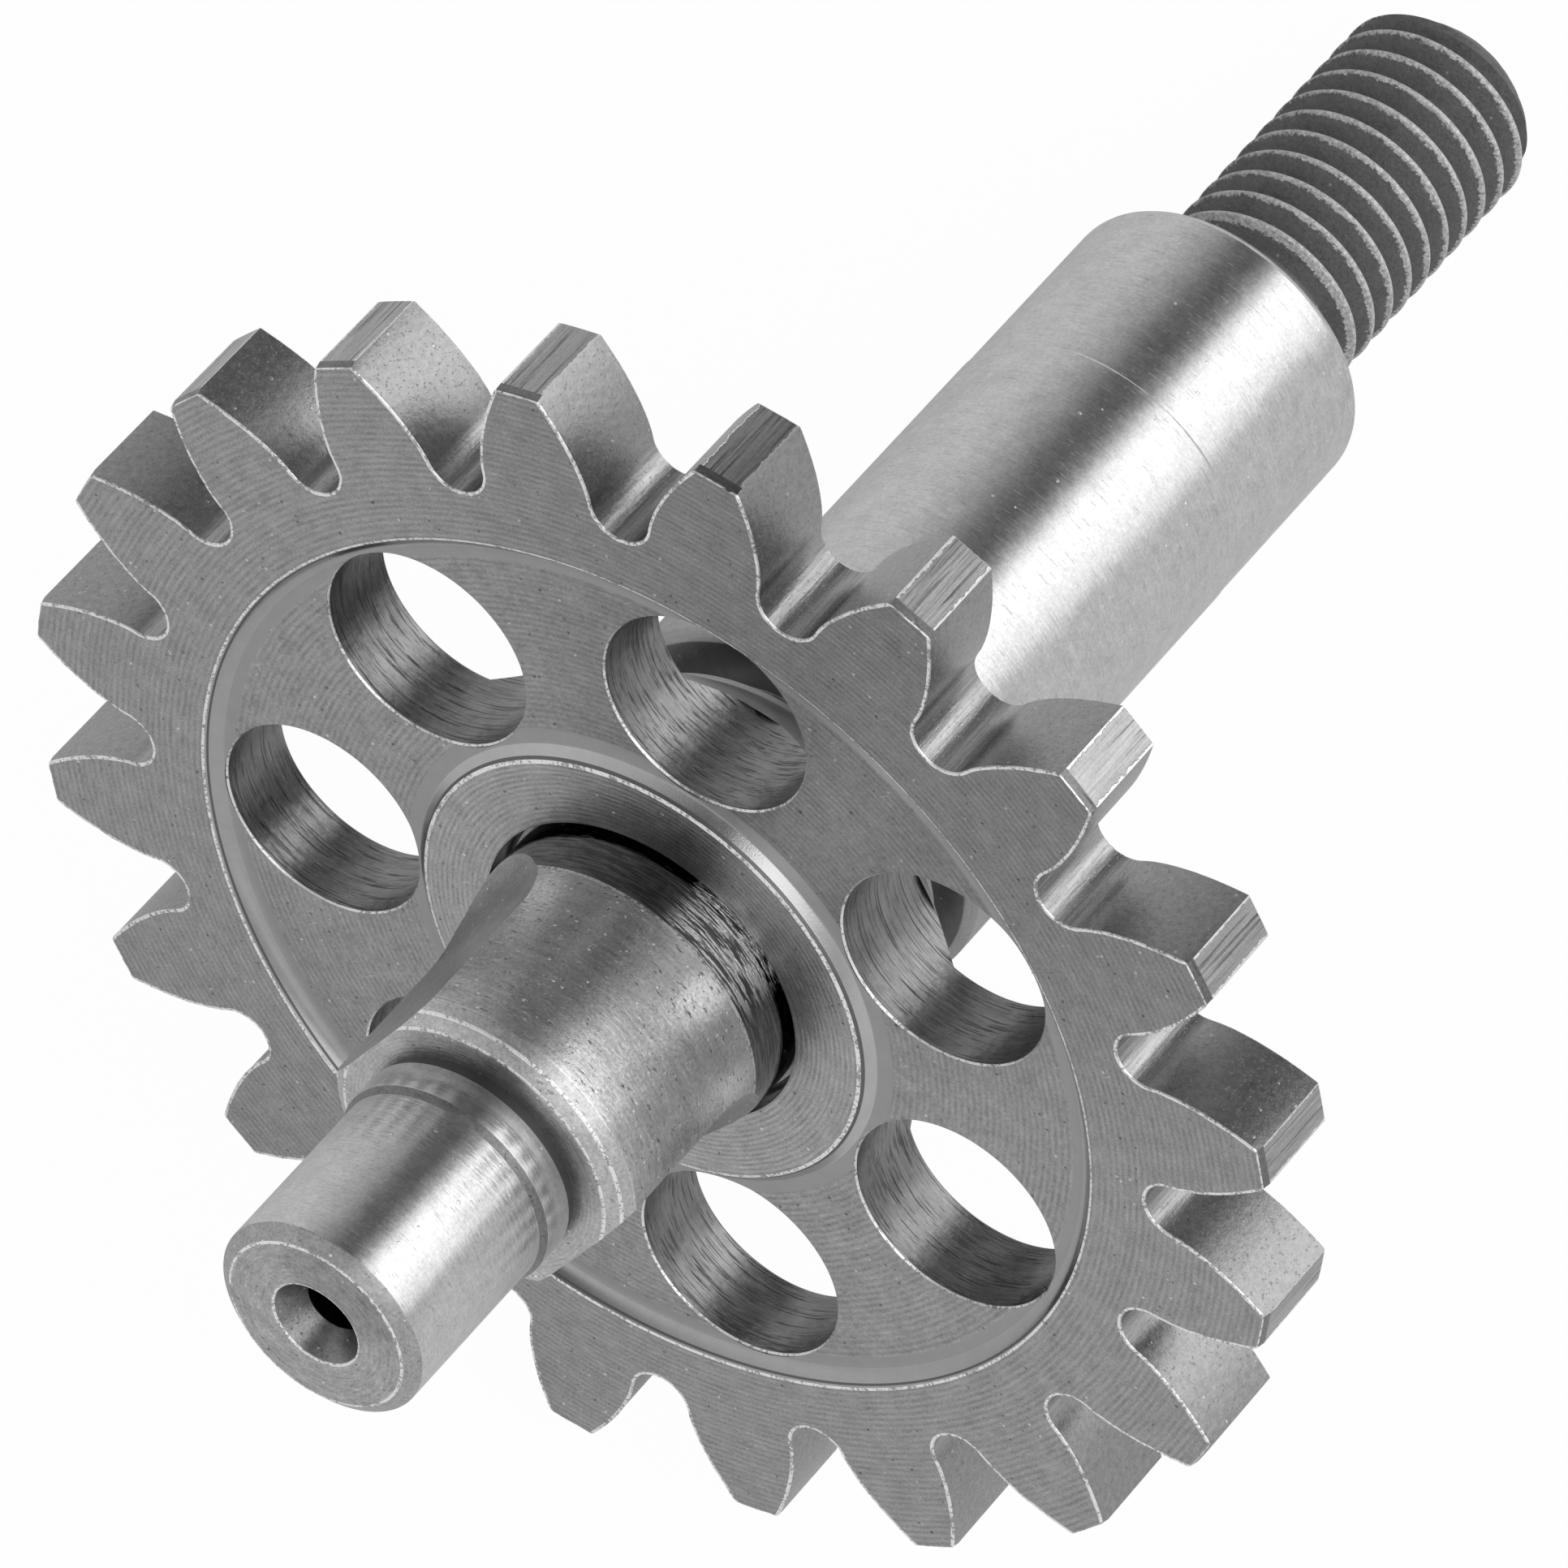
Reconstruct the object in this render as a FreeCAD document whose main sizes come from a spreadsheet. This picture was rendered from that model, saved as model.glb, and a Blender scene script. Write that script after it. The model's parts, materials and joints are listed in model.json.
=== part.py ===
import FreeCAD, Part
import math
import os

import Sketcher

# Water pump shaft with the drive gear pressed on it, lying as it comes to rest.
# Lengths are millimetres and angles are degrees.
# Each piece is turned about its own Z axis. Z = 0 is the front face of the gear rim,
# and +Z runs out to the plain front journal. The placement then lays the pair down
# on two gear teeth and the threaded end.

SIZES = [
    ("journal_diameter", 8.0, "ground front journal"),
    ("journal_length", 7.3, "front journal, end chamfer included"),
    ("journal_chamfer_length", 0.4, "front end chamfer along the shaft"),
    ("journal_chamfer_depth", 0.55, "front end chamfer across the shaft"),
    ("neck_height", 0.17, "rough neck stands above the journal"),
    ("neck_taper", 0.25, "length of the cone from journal to neck"),
    ("neck_length", 1.5, "neck up to its relief groove"),
    ("relief_width", 0.6, "relief groove at the shoulder"),
    ("relief_depth", 0.25, "relief groove below the journal"),
    ("shoulder_reach", 9.9, "shoulder face ahead of the gear rim"),
    ("shoulder_rise", 0.15, "rim of the shoulder face stands proud"),
    ("shoulder_ring_width", 0.7, "sloping ring inside the shoulder rim"),
    ("shoulder_chamfer_depth", 0.5, "shoulder chamfer across the shaft"),
    ("shoulder_chamfer_length", 0.35, "shoulder chamfer along the shaft"),
    ("shoulder_edge_depth", 0.25, "soft edge behind the chamfer, across"),
    ("shoulder_edge_length", 0.4, "soft edge behind the chamfer, along the shaft"),
    ("drive_step", 0.25, "double-D drive section lies below the gear seat"),
    ("flat_distance", 9.8, "double-D drive section across its flats"),
    ("flat_reach", 4.0, "where the flats begin to run out"),
    ("flat_cutter_radius", 5.0, "cutter that leaves the run-out curve"),
    ("flat_turn", 161.5, "turn of the flats about the shaft"),
    ("cut_overrun", 1.0, "how far a cutter starts outside the work"),
    ("band_depth", 0.1, "dark relieved band in front of the gear"),
    ("band_reach", 2.0, "front end of the relieved band"),
    ("seat_setback", 1.2, "gear seat starts this far inside the bore"),
    ("seat_diameter", 12.5, "gear seat on the shaft"),
    ("seat_chamfer", 0.15, "lead-in on the gear seat"),
    ("groove_width", 1.2, "groove between gear hub and collar"),
    ("groove_depth", 0.75, "groove below the gear seat"),
    ("collar_height", 1.35, "collar stands above the gear seat"),
    ("collar_width", 3.8, "collar behind the gear"),
    ("collar_chamfer_length", 0.45, "collar edges along the shaft"),
    ("collar_chamfer_depth", 0.35, "collar edges across the shaft"),
    ("barrel_diameter", 12.0, "bearing barrel"),
    ("barrel_length", 15.4, "bearing barrel behind the collar"),
    ("land_step", 0.1, "seal land lies below the barrel"),
    ("land_length", 8.4, "seal land, end bevels included"),
    ("land_end_bevel", 0.6, "two bevels that break the end of the seal land"),
    ("thread_relief_depth", 0.8, "relief ahead of the thread"),
    ("thread_relief_width", 1.6, "relief ahead of the thread"),
    ("thread_diameter", 8.0, "threaded end over its crests"),
    ("thread_length", 14.15, "threaded end, chamfers included"),
    ("thread_chamfer", 1.0, "end chamfer of the thread"),
    ("centre_mouth_diameter", 3.4, "countersunk mouth of the centre holes"),
    ("centre_angle", 60.0, "full angle of the centre holes"),
    ("centre_pilot_diameter", 1.6, "pilot of the centre holes"),
    ("centre_pilot_depth", 1.8, "straight pilot behind the countersink"),
    ("tooth_count", 20, "gear teeth"),
    ("tooth_module", 2.25, "pitch diameter over tooth count"),
    ("tooth_pressure_angle", 20.0, "angle of the tooth flanks at the pitch circle"),
    ("tooth_thickness", 4.02, "tooth along the pitch circle"),
    ("tip_diameter", 50.2, "gear over its tooth tips"),
    ("root_round_depth", 1.18, "centres of the root rounds inside the pitch circle"),
    ("tip_chamfer_depth", 0.1, "front edge of the tooth tips, across"),
    ("tip_chamfer_width", 0.35, "front edge of the tooth tips, along the shaft"),
    ("face_width", 3.8, "gear rim and web from front to back"),
    ("recess_outer_diameter", 36.0, "rim edge of the turned recess"),
    ("recess_depth", 0.5, "turned recess in the front face"),
    ("recess_radius", 1.1, "cove at the rim edge of the recess"),
    ("hub_ring_width", 2.6, "flat ring round the bore on the front face"),
    ("hub_wall_depth", 0.32, "steep part of the hub wall, along the shaft"),
    ("hub_wall_width", 0.25, "steep part of the hub wall, across"),
    ("hub_foot_width", 0.68, "sloping foot of the hub wall, across"),
    ("bore_length", 7.75, "gear bore, rear hub included"),
    ("press_clearance", 0.0, "radial play of the gear on its seat"),
    ("rear_hub_wall", 0.6, "wall round the bore at the end of the rear hub"),
    ("rear_hub_flare", 3.65, "widening of the conical rear hub"),
    ("rear_hub_nose", 0.25, "straight end of the rear hub"),
    ("hole_count", 7, "lightening holes"),
    ("hole_diameter", 8.0, "lightening holes"),
    ("hole_turn", 31.98, "turn of the hole pattern from the first tooth space"),
]


def fill_sheet(document):
    """Put every driving dimension in the sheet under its own alias."""
    sheet = document.addObject("Spreadsheet::Sheet", "Sizes")
    for row, (alias, value, note) in enumerate(SIZES, start=1):
        sheet.set(f"A{row}", note)
        sheet.set(f"B{row}", str(value))
        sheet.setAlias(f"B{row}", alias)
    document.recompute()
    return sheet


def size(alias):
    """Name a cell of the sheet inside an expression."""
    return f"Sizes.{alias}"


def radius(alias):
    """Half of a diameter that the sheet holds."""
    return f"Sizes.{alias} / 2"


def origin_feature(body, role):
    """Find one of the body's own origin planes or axes by its role."""
    for feature in body.Origin.OriginFeatures:
        if feature.Role == role:
            return feature
    raise ValueError(role)


def new_body(document, name):
    """Start a sub-part with its own label."""
    body = document.addObject("PartDesign::Body", name)
    body.Label = name
    return body


def new_sketch(body, name, role):
    """Attach a sketch to one of the body's origin planes."""
    sketch = body.newObject("Sketcher::SketchObject", name)
    sketch.AttachmentSupport = (origin_feature(body, role), [""])
    sketch.MapMode = "FlatFace"
    return sketch


def arc_between(start, end, bend):
    """Short arc from start to end. A positive bend turns left, a negative one turns right."""
    chord = end - start
    middle = (start + end) * 0.5
    rise = math.sqrt(max(bend * bend - chord.Length * chord.Length / 4, 0))
    normal = FreeCAD.Vector(-chord.y, chord.x, 0).normalize()
    centre = middle + normal * math.copysign(rise, bend)
    circle = Part.Circle(centre, FreeCAD.Vector(0, 0, 1), abs(bend))
    first = math.atan2(start.y - centre.y, start.x - centre.x)
    last = math.atan2(end.y - centre.y, end.x - centre.x)
    if bend > 0:
        return Part.ArcOfCircle(circle, first, last if last > first else last + 2 * math.pi)
    return Part.ArcOfCircle(circle, last, first if first > last else first + 2 * math.pi)


def draw_outline(sketch, corners):
    """Draw a closed outline whose corners follow the sheet.

    A corner is an expression across, an expression along, and the radius of the arc
    that leaves it, with None for a straight line.
    """
    points = []
    for across, along, _ in corners:
        x = float(sketch.evalExpression(across))
        y = float(sketch.evalExpression(along))
        points.append(FreeCAD.Vector(x, y, 0))
    starts = []
    for index, (_, _, bend) in enumerate(corners):
        start = points[index]
        end = points[(index + 1) % len(points)]
        if bend is None:
            geometry = sketch.addGeometry(Part.LineSegment(start, end), False)
            ends = (1, 2)
        else:
            turn = float(sketch.evalExpression(bend))
            geometry = sketch.addGeometry(arc_between(start, end, turn), False)
            ends = (1, 2) if turn > 0 else (2, 1)
        starts.append((geometry, ends))
    for index, (geometry, ends) in enumerate(starts):
        following, next_ends = starts[(index + 1) % len(starts)]
        sketch.addConstraint(
            Sketcher.Constraint("Coincident", geometry, ends[1], following, next_ends[0])
        )
    for index, (across, along, bend) in enumerate(corners):
        geometry, ends = starts[index]
        hold(sketch, "DistanceX", geometry, ends[0], points[index].x, across)
        hold(sketch, "DistanceY", geometry, ends[0], points[index].y, along)
        if bend is not None:
            turn = abs(float(sketch.evalExpression(bend)))
            number = sketch.addConstraint(Sketcher.Constraint("Radius", geometry, turn))
            sketch.setExpression(f"Constraints[{number}]", f"abs({bend})")


def hold(sketch, kind, geometry, end, value, expression):
    """Hold one coordinate of a point at a value that follows the sheet."""
    if expression == "0":
        line = -2 if kind == "DistanceX" else -1
        sketch.addConstraint(Sketcher.Constraint("PointOnObject", geometry, end, line))
        return
    number = sketch.addConstraint(Sketcher.Constraint(kind, -1, 1, geometry, end, value))
    sketch.setExpression(f"Constraints[{number}]", expression)


def revolve(body, kind, name, sketch):
    """Turn a sketch about the body's Z axis, to add or to remove material."""
    feature = body.newObject(kind, name)
    feature.Profile = sketch
    feature.ReferenceAxis = (origin_feature(body, "Z_Axis"), [""])
    feature.Angle = 360
    return feature


def cut_through(body, name, sketch, both_ways):
    """Cut a sketch through the whole body."""
    pocket = body.newObject("PartDesign::Pocket", name)
    pocket.Profile = sketch
    pocket.Type = "ThroughAll"
    pocket.Midplane = both_ways
    return pocket


def repeat_round(body, name, feature, count):
    """Repeat a feature round the body's Z axis."""
    pattern = body.newObject("PartDesign::PolarPattern", name)
    pattern.Originals = [feature]
    pattern.Axis = (origin_feature(body, "Z_Axis"), [""])
    pattern.Angle = 360
    pattern.setExpression("Occurrences", count)
    body.Tip = pattern
    return pattern


# Stations along the shaft and radii that several outlines share
SHOULDER = size("shoulder_reach")
SHOULDER_RIM = f"{SHOULDER} + {size('shoulder_rise')}"
RELIEF_FRONT = f"{SHOULDER} + {size('relief_width')}"
JOURNAL_REAR = f"{RELIEF_FRONT} + {size('neck_length')}"
FRONT_END = f"{JOURNAL_REAR} + {size('journal_length')}"
HUB_REAR = f"-{size('bore_length')}"
COLLAR_FRONT = f"{HUB_REAR} - {size('groove_width')}"
COLLAR_REAR = f"{COLLAR_FRONT} - {size('collar_width')}"
LAND_FRONT = f"{COLLAR_REAR} - {size('barrel_length')}"
LAND_REAR = f"{LAND_FRONT} - {size('land_length')}"
THREAD_FRONT = f"{LAND_REAR} - {size('thread_relief_width')}"
THREAD_END = f"{THREAD_FRONT} - {size('thread_length')}"
DRIVE = f"({radius('seat_diameter')} - {size('drive_step')})"
BORE = f"({radius('seat_diameter')} + {size('press_clearance')})"
HUB = f"({BORE} + {size('hub_ring_width')})"
RECESS = radius("recess_outer_diameter")
# Share of a round's radius that is left outside it at 45 degrees
CORNER = "(1 - cos(45))"


def shaft_outline():
    """Half section of the turned shaft, from the front end back to the thread."""
    journal = radius("journal_diameter")
    neck = f"{journal} + {size('neck_height')}"
    relief = f"{journal} - {size('relief_depth')}"
    chamfer_edge = f"{DRIVE} - {size('shoulder_edge_depth')}"
    rim = f"{chamfer_edge} - {size('shoulder_chamfer_depth')}"
    chamfer_rear = f"{SHOULDER_RIM} - {size('shoulder_chamfer_length')}"
    band = f"{DRIVE} - {size('band_depth')}"
    seat = radius("seat_diameter")
    groove = f"{seat} - {size('groove_depth')}"
    collar = f"{seat} + {size('collar_height')}"
    collar_face = f"{collar} - {size('collar_chamfer_depth')}"
    barrel = radius("barrel_diameter")
    land = f"{barrel} - {size('land_step')}"
    bevel = size("land_end_bevel")
    thread = radius("thread_diameter")
    thread_relief = f"{thread} - {size('thread_relief_depth')}"
    thread_face = f"{thread} - {size('thread_chamfer')}"
    return [
        ("0", FRONT_END, None),
        (f"{journal} - {size('journal_chamfer_depth')}", FRONT_END, None),
        (journal, f"{FRONT_END} - {size('journal_chamfer_length')}", None),
        (journal, JOURNAL_REAR, None),
        (neck, f"{JOURNAL_REAR} - {size('neck_taper')}", None),
        (neck, RELIEF_FRONT, None),
        (relief, RELIEF_FRONT, None),
        (relief, SHOULDER, None),
        (f"{rim} - {size('shoulder_ring_width')}", SHOULDER, None),
        (rim, SHOULDER_RIM, None),
        (chamfer_edge, chamfer_rear, None),
        (DRIVE, f"{chamfer_rear} - {size('shoulder_edge_length')}", None),
        (DRIVE, size("band_reach"), None),
        (band, f"{size('band_reach')} - {size('band_depth')}", None),
        (band, f"-{size('seat_setback')}", None),
        (f"{seat} - {size('seat_chamfer')}", f"-{size('seat_setback')}", None),
        (seat, f"-{size('seat_setback')} - {size('seat_chamfer')}", None),
        (seat, HUB_REAR, None),
        (groove, HUB_REAR, None),
        (groove, COLLAR_FRONT, None),
        (collar_face, COLLAR_FRONT, None),
        (collar, f"{COLLAR_FRONT} - {size('collar_chamfer_length')}", None),
        (collar, f"{COLLAR_REAR} + {size('collar_chamfer_length')}", None),
        (collar_face, COLLAR_REAR, None),
        (barrel, COLLAR_REAR, None),
        (barrel, LAND_FRONT, None),
        (land, f"{LAND_FRONT} - {size('land_step')}", None),
        (land, f"{LAND_REAR} + {bevel}", None),
        (f"{land} - {bevel} * {CORNER}", f"{LAND_REAR} + {bevel} * {CORNER}", None),
        (f"{land} - {bevel}", LAND_REAR, None),
        (thread_relief, LAND_REAR, None),
        (thread_relief, THREAD_FRONT, None),
        (thread, f"{THREAD_FRONT} - {size('thread_relief_depth')}", None),
        (thread, f"{THREAD_END} + {size('thread_chamfer')}", None),
        (thread_face, THREAD_END, None),
        ("0", THREAD_END, None),
    ]


def centre_hole_outline(face, inward):
    """Half section of a centre hole that opens in an end face."""
    mouth = radius("centre_mouth_diameter")
    pilot = radius("centre_pilot_diameter")
    taper = f"({mouth} - {pilot}) / tan({size('centre_angle')} / 2)"
    throat = f"{face} {inward} {taper}"
    floor = f"{throat} {inward} {size('centre_pilot_depth')}"
    return [
        ("0", face, None),
        (mouth, face, None),
        (pilot, throat, None),
        (pilot, floor, None),
        ("0", f"{floor} {inward} {pilot} * tan(30)", None),
    ]


def flat_outline():
    """Side view of what the cutter takes off one side of the drive section."""
    flat = size("flat_distance") + " / 2"
    cutter = size("flat_cutter_radius")
    outside = f"{DRIVE} + {size('cut_overrun')}"
    run_out = f"sqrt({cutter}^2 - ({cutter} - ({outside} - {flat}))^2)"
    ahead = f"{SHOULDER_RIM} + {size('cut_overrun')}"
    return [
        (flat, ahead, None),
        (flat, size("flat_reach"), cutter),
        (outside, f"{size('flat_reach')} - {run_out}", None),
        (outside, ahead, None),
    ]


def make_shaft(document):
    """Turned and milled steel shaft in one piece."""
    body = new_body(document, "shaft")
    profile = new_sketch(body, "shaft_section", "XZ_Plane")
    draw_outline(profile, shaft_outline())
    revolve(body, "PartDesign::Revolution", "turned_shaft", profile)

    for name, face, inward in (("front", FRONT_END, "-"), ("rear", THREAD_END, "+")):
        section = new_sketch(body, f"{name}_centre_section", "XZ_Plane")
        draw_outline(section, centre_hole_outline(face, inward))
        revolve(body, "PartDesign::Groove", f"{name}_centre_hole", section)

    side = new_sketch(body, "flat_side_view", "XZ_Plane")
    draw_outline(side, flat_outline())
    flat = cut_through(body, "drive_flat", side, True)
    repeat_round(body, "drive_flats", flat, "2")
    return body


def gear_outline():
    """Half section of the gear blank, before its teeth and holes are cut."""
    tip = radius("tip_diameter")
    depth = size("recess_depth")
    bend = size("recess_radius")
    cove = f"sqrt({bend}^2 - ({bend} - {depth})^2)"
    wall = f"{HUB} + {size('hub_wall_width')}"
    back = f"-{size('face_width')}"
    nose = f"{BORE} + {size('rear_hub_wall')}"
    return [
        (BORE, "0", None),
        (HUB, "0", None),
        (wall, f"-{size('hub_wall_depth')}", None),
        (f"{wall} + {size('hub_foot_width')}", f"-{depth}", None),
        (f"{RECESS} - {cove}", f"-{depth}", bend),
        (RECESS, "0", None),
        (f"{tip} - {size('tip_chamfer_depth')}", "0", None),
        (tip, f"-{size('tip_chamfer_width')}", None),
        (tip, back, None),
        (f"{nose} + {size('rear_hub_flare')}", back, None),
        (nose, f"{HUB_REAR} + {size('rear_hub_nose')}", None),
        (nose, HUB_REAR, None),
        (BORE, HUB_REAR, None),
    ]


def involute(angle):
    """Involute function of an angle in radians."""
    return math.tan(angle) - angle


def polar(distance, angle):
    """Point in the plane of the gear at a distance from its axis."""
    return FreeCAD.Vector(distance * math.cos(angle), distance * math.sin(angle), 0)


def draw_tooth_space(sketch, sheet):
    """Draw one tooth space about the X axis: a full round root between involute flanks."""
    count = sheet.tooth_count
    pitch = sheet.tooth_module * count / 2
    slope = math.radians(sheet.tooth_pressure_angle)
    base = pitch * math.cos(slope)
    outside = sheet.tip_diameter / 2 + sheet.cut_overrun
    half_tooth = sheet.tooth_thickness / 2 / pitch
    opening = math.pi / count - half_tooth - involute(slope)

    def flank_point(distance, side):
        lean = math.acos(base / distance)
        return polar(distance, side * (opening + involute(lean)))

    # The root round touches each flank where both have the same normal.
    centre = pitch - sheet.root_round_depth
    sweep = math.acos(base / centre)
    bend = base * (involute(sweep) + opening)
    start = base * math.hypot(1, sweep - opening)
    steps = 8
    distances = [start + (outside - start) * step / steps for step in range(steps + 1)]

    upper = flank_point(start, 1)
    lower = flank_point(start, -1)
    bottom = polar(centre - bend, 0)
    sketch.addGeometry(Part.Arc(lower, bottom, upper), False)
    for side in (1, -1):
        flank = Part.BSplineCurve()
        flank.interpolate([flank_point(distance, side) for distance in distances])
        sketch.addGeometry(flank, False)
    mouth = Part.LineSegment(flank_point(outside, -1), flank_point(outside, 1))
    sketch.addGeometry(mouth, False)


def make_gear(document, sheet):
    """Steel spur gear with a turned recess, lightening holes and a conical rear hub."""
    body = new_body(document, "drive_gear")
    profile = new_sketch(body, "gear_section", "XZ_Plane")
    draw_outline(profile, gear_outline())
    revolve(body, "PartDesign::Revolution", "gear_blank", profile)

    space = new_sketch(body, "tooth_space_outline", "XY_Plane")
    draw_tooth_space(space, sheet)
    cut = cut_through(body, "tooth_space", space, False)
    repeat_round(body, "tooth_spaces", cut, size("tooth_count"))

    spot = new_sketch(body, "hole_outline", "XY_Plane")
    circle_radius = f"({HUB} + {RECESS}) / 2"
    reach = float(spot.evalExpression(circle_radius))
    place = polar(reach, math.radians(sheet.hole_turn))
    circle = Part.Circle(place, FreeCAD.Vector(0, 0, 1), sheet.hole_diameter / 2)
    ring = spot.addGeometry(circle, False)
    turn = size("hole_turn")
    hold(spot, "DistanceX", ring, 3, place.x, f"{circle_radius} * cos({turn})")
    hold(spot, "DistanceY", ring, 3, place.y, f"{circle_radius} * sin({turn})")
    number = spot.addConstraint(Sketcher.Constraint("Diameter", ring, sheet.hole_diameter))
    spot.setExpression(f"Constraints[{number}]", size("hole_diameter"))
    hole = cut_through(body, "lightening_hole", spot, False)
    repeat_round(body, "lightening_holes", hole, size("hole_count"))
    return body


def lay_down(document, sheet, shaft, gear):
    """Turn both pieces about the shaft, then rest them on two teeth and the threaded end."""
    gear_turn = FreeCAD.Rotation(FreeCAD.Vector(0, 0, 1), -90)
    flat_turn = FreeCAD.Rotation(FreeCAD.Vector(0, 0, 1), sheet.flat_turn)

    document.recompute()
    heel = min(
        (gear_turn.multVec(vertex.Point) for vertex in gear.Shape.Vertexes),
        key=lambda point: (round(point.y, 3), point.z),
    )
    toe_height = sheet.thread_diameter / 2
    toe = float(shaft.evalExpression(f"{THREAD_END} + {size('thread_chamfer')}"))
    tilt = math.degrees(math.atan2(-heel.y - toe_height, heel.z - toe))
    lean = FreeCAD.Rotation(FreeCAD.Vector(1, 0, 0), 90 - tilt)

    for body, turn in ((shaft, flat_turn), (gear, gear_turn)):
        body.Placement = FreeCAD.Placement(FreeCAD.Vector(0, 0, 0), lean * turn)
    document.recompute()
    box = shaft.Shape.BoundBox
    box.add(gear.Shape.BoundBox)
    drop = lean.multVec(heel).z
    shift = FreeCAD.Vector(0, -(box.YMin + box.YMax) / 2, -drop)
    for body in (shaft, gear):
        body.Placement = FreeCAD.Placement(shift, body.Placement.Rotation)
    document.recompute()


def check(document, bodies):
    """Stop when any feature failed or a sub-part isn't one valid solid."""
    for item in document.Objects:
        if "Invalid" in item.State or "Error" in item.State:
            raise RuntimeError(f"{item.Name} failed: {item.State}")
    for body in bodies:
        shape = body.Shape
        if shape.isNull() or not shape.isValid() or len(shape.Solids) != 1:
            raise RuntimeError(f"{body.Label} isn't one valid solid")


def main():
    document = FreeCAD.newDocument("water_pump_shaft")
    sheet = fill_sheet(document)
    shaft = make_shaft(document)
    gear = make_gear(document, sheet)
    document.recompute()
    lay_down(document, sheet, shaft, gear)
    check(document, (shaft, gear))
    os.makedirs("parts", exist_ok=True)
    for body in (shaft, gear):
        body.Shape.exportStep(f"parts/{body.Label}.step")


main()
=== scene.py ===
"""Water pump shaft with its drive gear: the visual model, its finishes and the studio around it."""

import enum
import json
import logging
import math
from dataclasses import dataclass
from typing import Iterable, Optional, Union

import bmesh
import bpy
from bmesh.types import BMEdge, BMesh, BMFace, BMVert
from bpy.types import ColorRamp, Material, NodeSocket, NodeTree, Object
from mathutils import Euler, Matrix, Vector, noise
from mathutils.kdtree import KDTree


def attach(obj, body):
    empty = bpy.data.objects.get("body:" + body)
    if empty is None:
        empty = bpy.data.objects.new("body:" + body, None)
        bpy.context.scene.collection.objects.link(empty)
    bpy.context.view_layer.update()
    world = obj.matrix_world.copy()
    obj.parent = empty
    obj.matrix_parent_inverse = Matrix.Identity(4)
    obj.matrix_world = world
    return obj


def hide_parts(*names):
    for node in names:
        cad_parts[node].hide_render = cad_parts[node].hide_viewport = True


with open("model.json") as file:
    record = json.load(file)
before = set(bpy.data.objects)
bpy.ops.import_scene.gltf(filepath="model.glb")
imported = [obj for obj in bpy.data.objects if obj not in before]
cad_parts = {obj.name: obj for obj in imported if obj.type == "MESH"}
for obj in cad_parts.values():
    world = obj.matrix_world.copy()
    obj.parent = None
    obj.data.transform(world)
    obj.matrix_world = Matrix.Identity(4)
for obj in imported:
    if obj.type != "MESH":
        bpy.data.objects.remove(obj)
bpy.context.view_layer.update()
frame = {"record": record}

LOG = logging.getLogger("pump_shaft")
MM = 0.001
SHARP_ANGLE = math.radians(13)
WELD = 1e-5
SEAM = 2e-3
NEAR = 1e-4

Number = Union[int, float]

_materials: dict[str, Material] = {}


# ---- the shared axis


@dataclass(frozen=True)
class ShaftAxis:
    """The shaft's own axes: z runs along the shaft to its front end, x stays level.

    The middle of the gear's front face is the zero point.
    """

    origin: Vector
    forward: Vector

    @classmethod
    def from_record(cls, record: dict, middle: float) -> "ShaftAxis":
        """Read the axis from the front journal's mount.

        Args:
            record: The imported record.
            middle: Distance in mm from the gear's front face to the journal's middle.

        Returns:
            The axis in world metres.
        """
        mounts = {mount["name"]: mount for mount in record["mounts"]}
        journal = mounts["front_journal"]
        forward = Vector(journal["axis"]).normalized()
        return cls(Vector(journal["pos_m"]) - forward * middle * MM, forward)

    @property
    def lean(self) -> float:
        """Turn about the world's x axis that brings the world's z axis onto the shaft."""
        return math.atan2(-self.forward.y, self.forward.z)

    def to_world(self) -> Matrix:
        """Matrix from shaft millimetres to world metres."""
        turn = Matrix.Rotation(self.lean, 4, "X")
        return Matrix.Translation(self.origin) @ turn @ Matrix.Scale(MM, 4)

    def pattern_turn(self) -> tuple[float, float, float]:
        """Rotation of a Mapping node that gives shaft coordinates."""
        return (-self.lean, 0.0, 0.0)

    def pattern_shift(self) -> tuple[float, float, float]:
        """Location of a Mapping node that gives shaft coordinates in mm."""
        moved = Matrix.Rotation(-self.lean, 3, "X") @ self.origin
        return tuple(-moved / MM)


# ---- shader building


class Value:
    """A socket that takes part in Python arithmetic and adds its Math nodes."""

    def __init__(self, bench: "Bench", socket: NodeSocket) -> None:
        """Keep the socket and the bench that owns it."""
        self.bench = bench
        self.socket = socket

    def __add__(self, other: "Operand") -> "Value":
        """Sum."""
        return self.bench.math("ADD", self, other)

    def __sub__(self, other: "Operand") -> "Value":
        """Difference."""
        return self.bench.math("SUBTRACT", self, other)

    def __mul__(self, other: "Operand") -> "Value":
        """Product."""
        return self.bench.math("MULTIPLY", self, other)

    def __truediv__(self, other: "Operand") -> "Value":
        """Quotient."""
        return self.bench.math("DIVIDE", self, other)

    def __rsub__(self, other: Number) -> "Value":
        """Difference with a plain number on the left."""
        return self.bench.math("SUBTRACT", other, self)

    __radd__ = __add__
    __rmul__ = __mul__


Operand = Union[Value, int, float]


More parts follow.
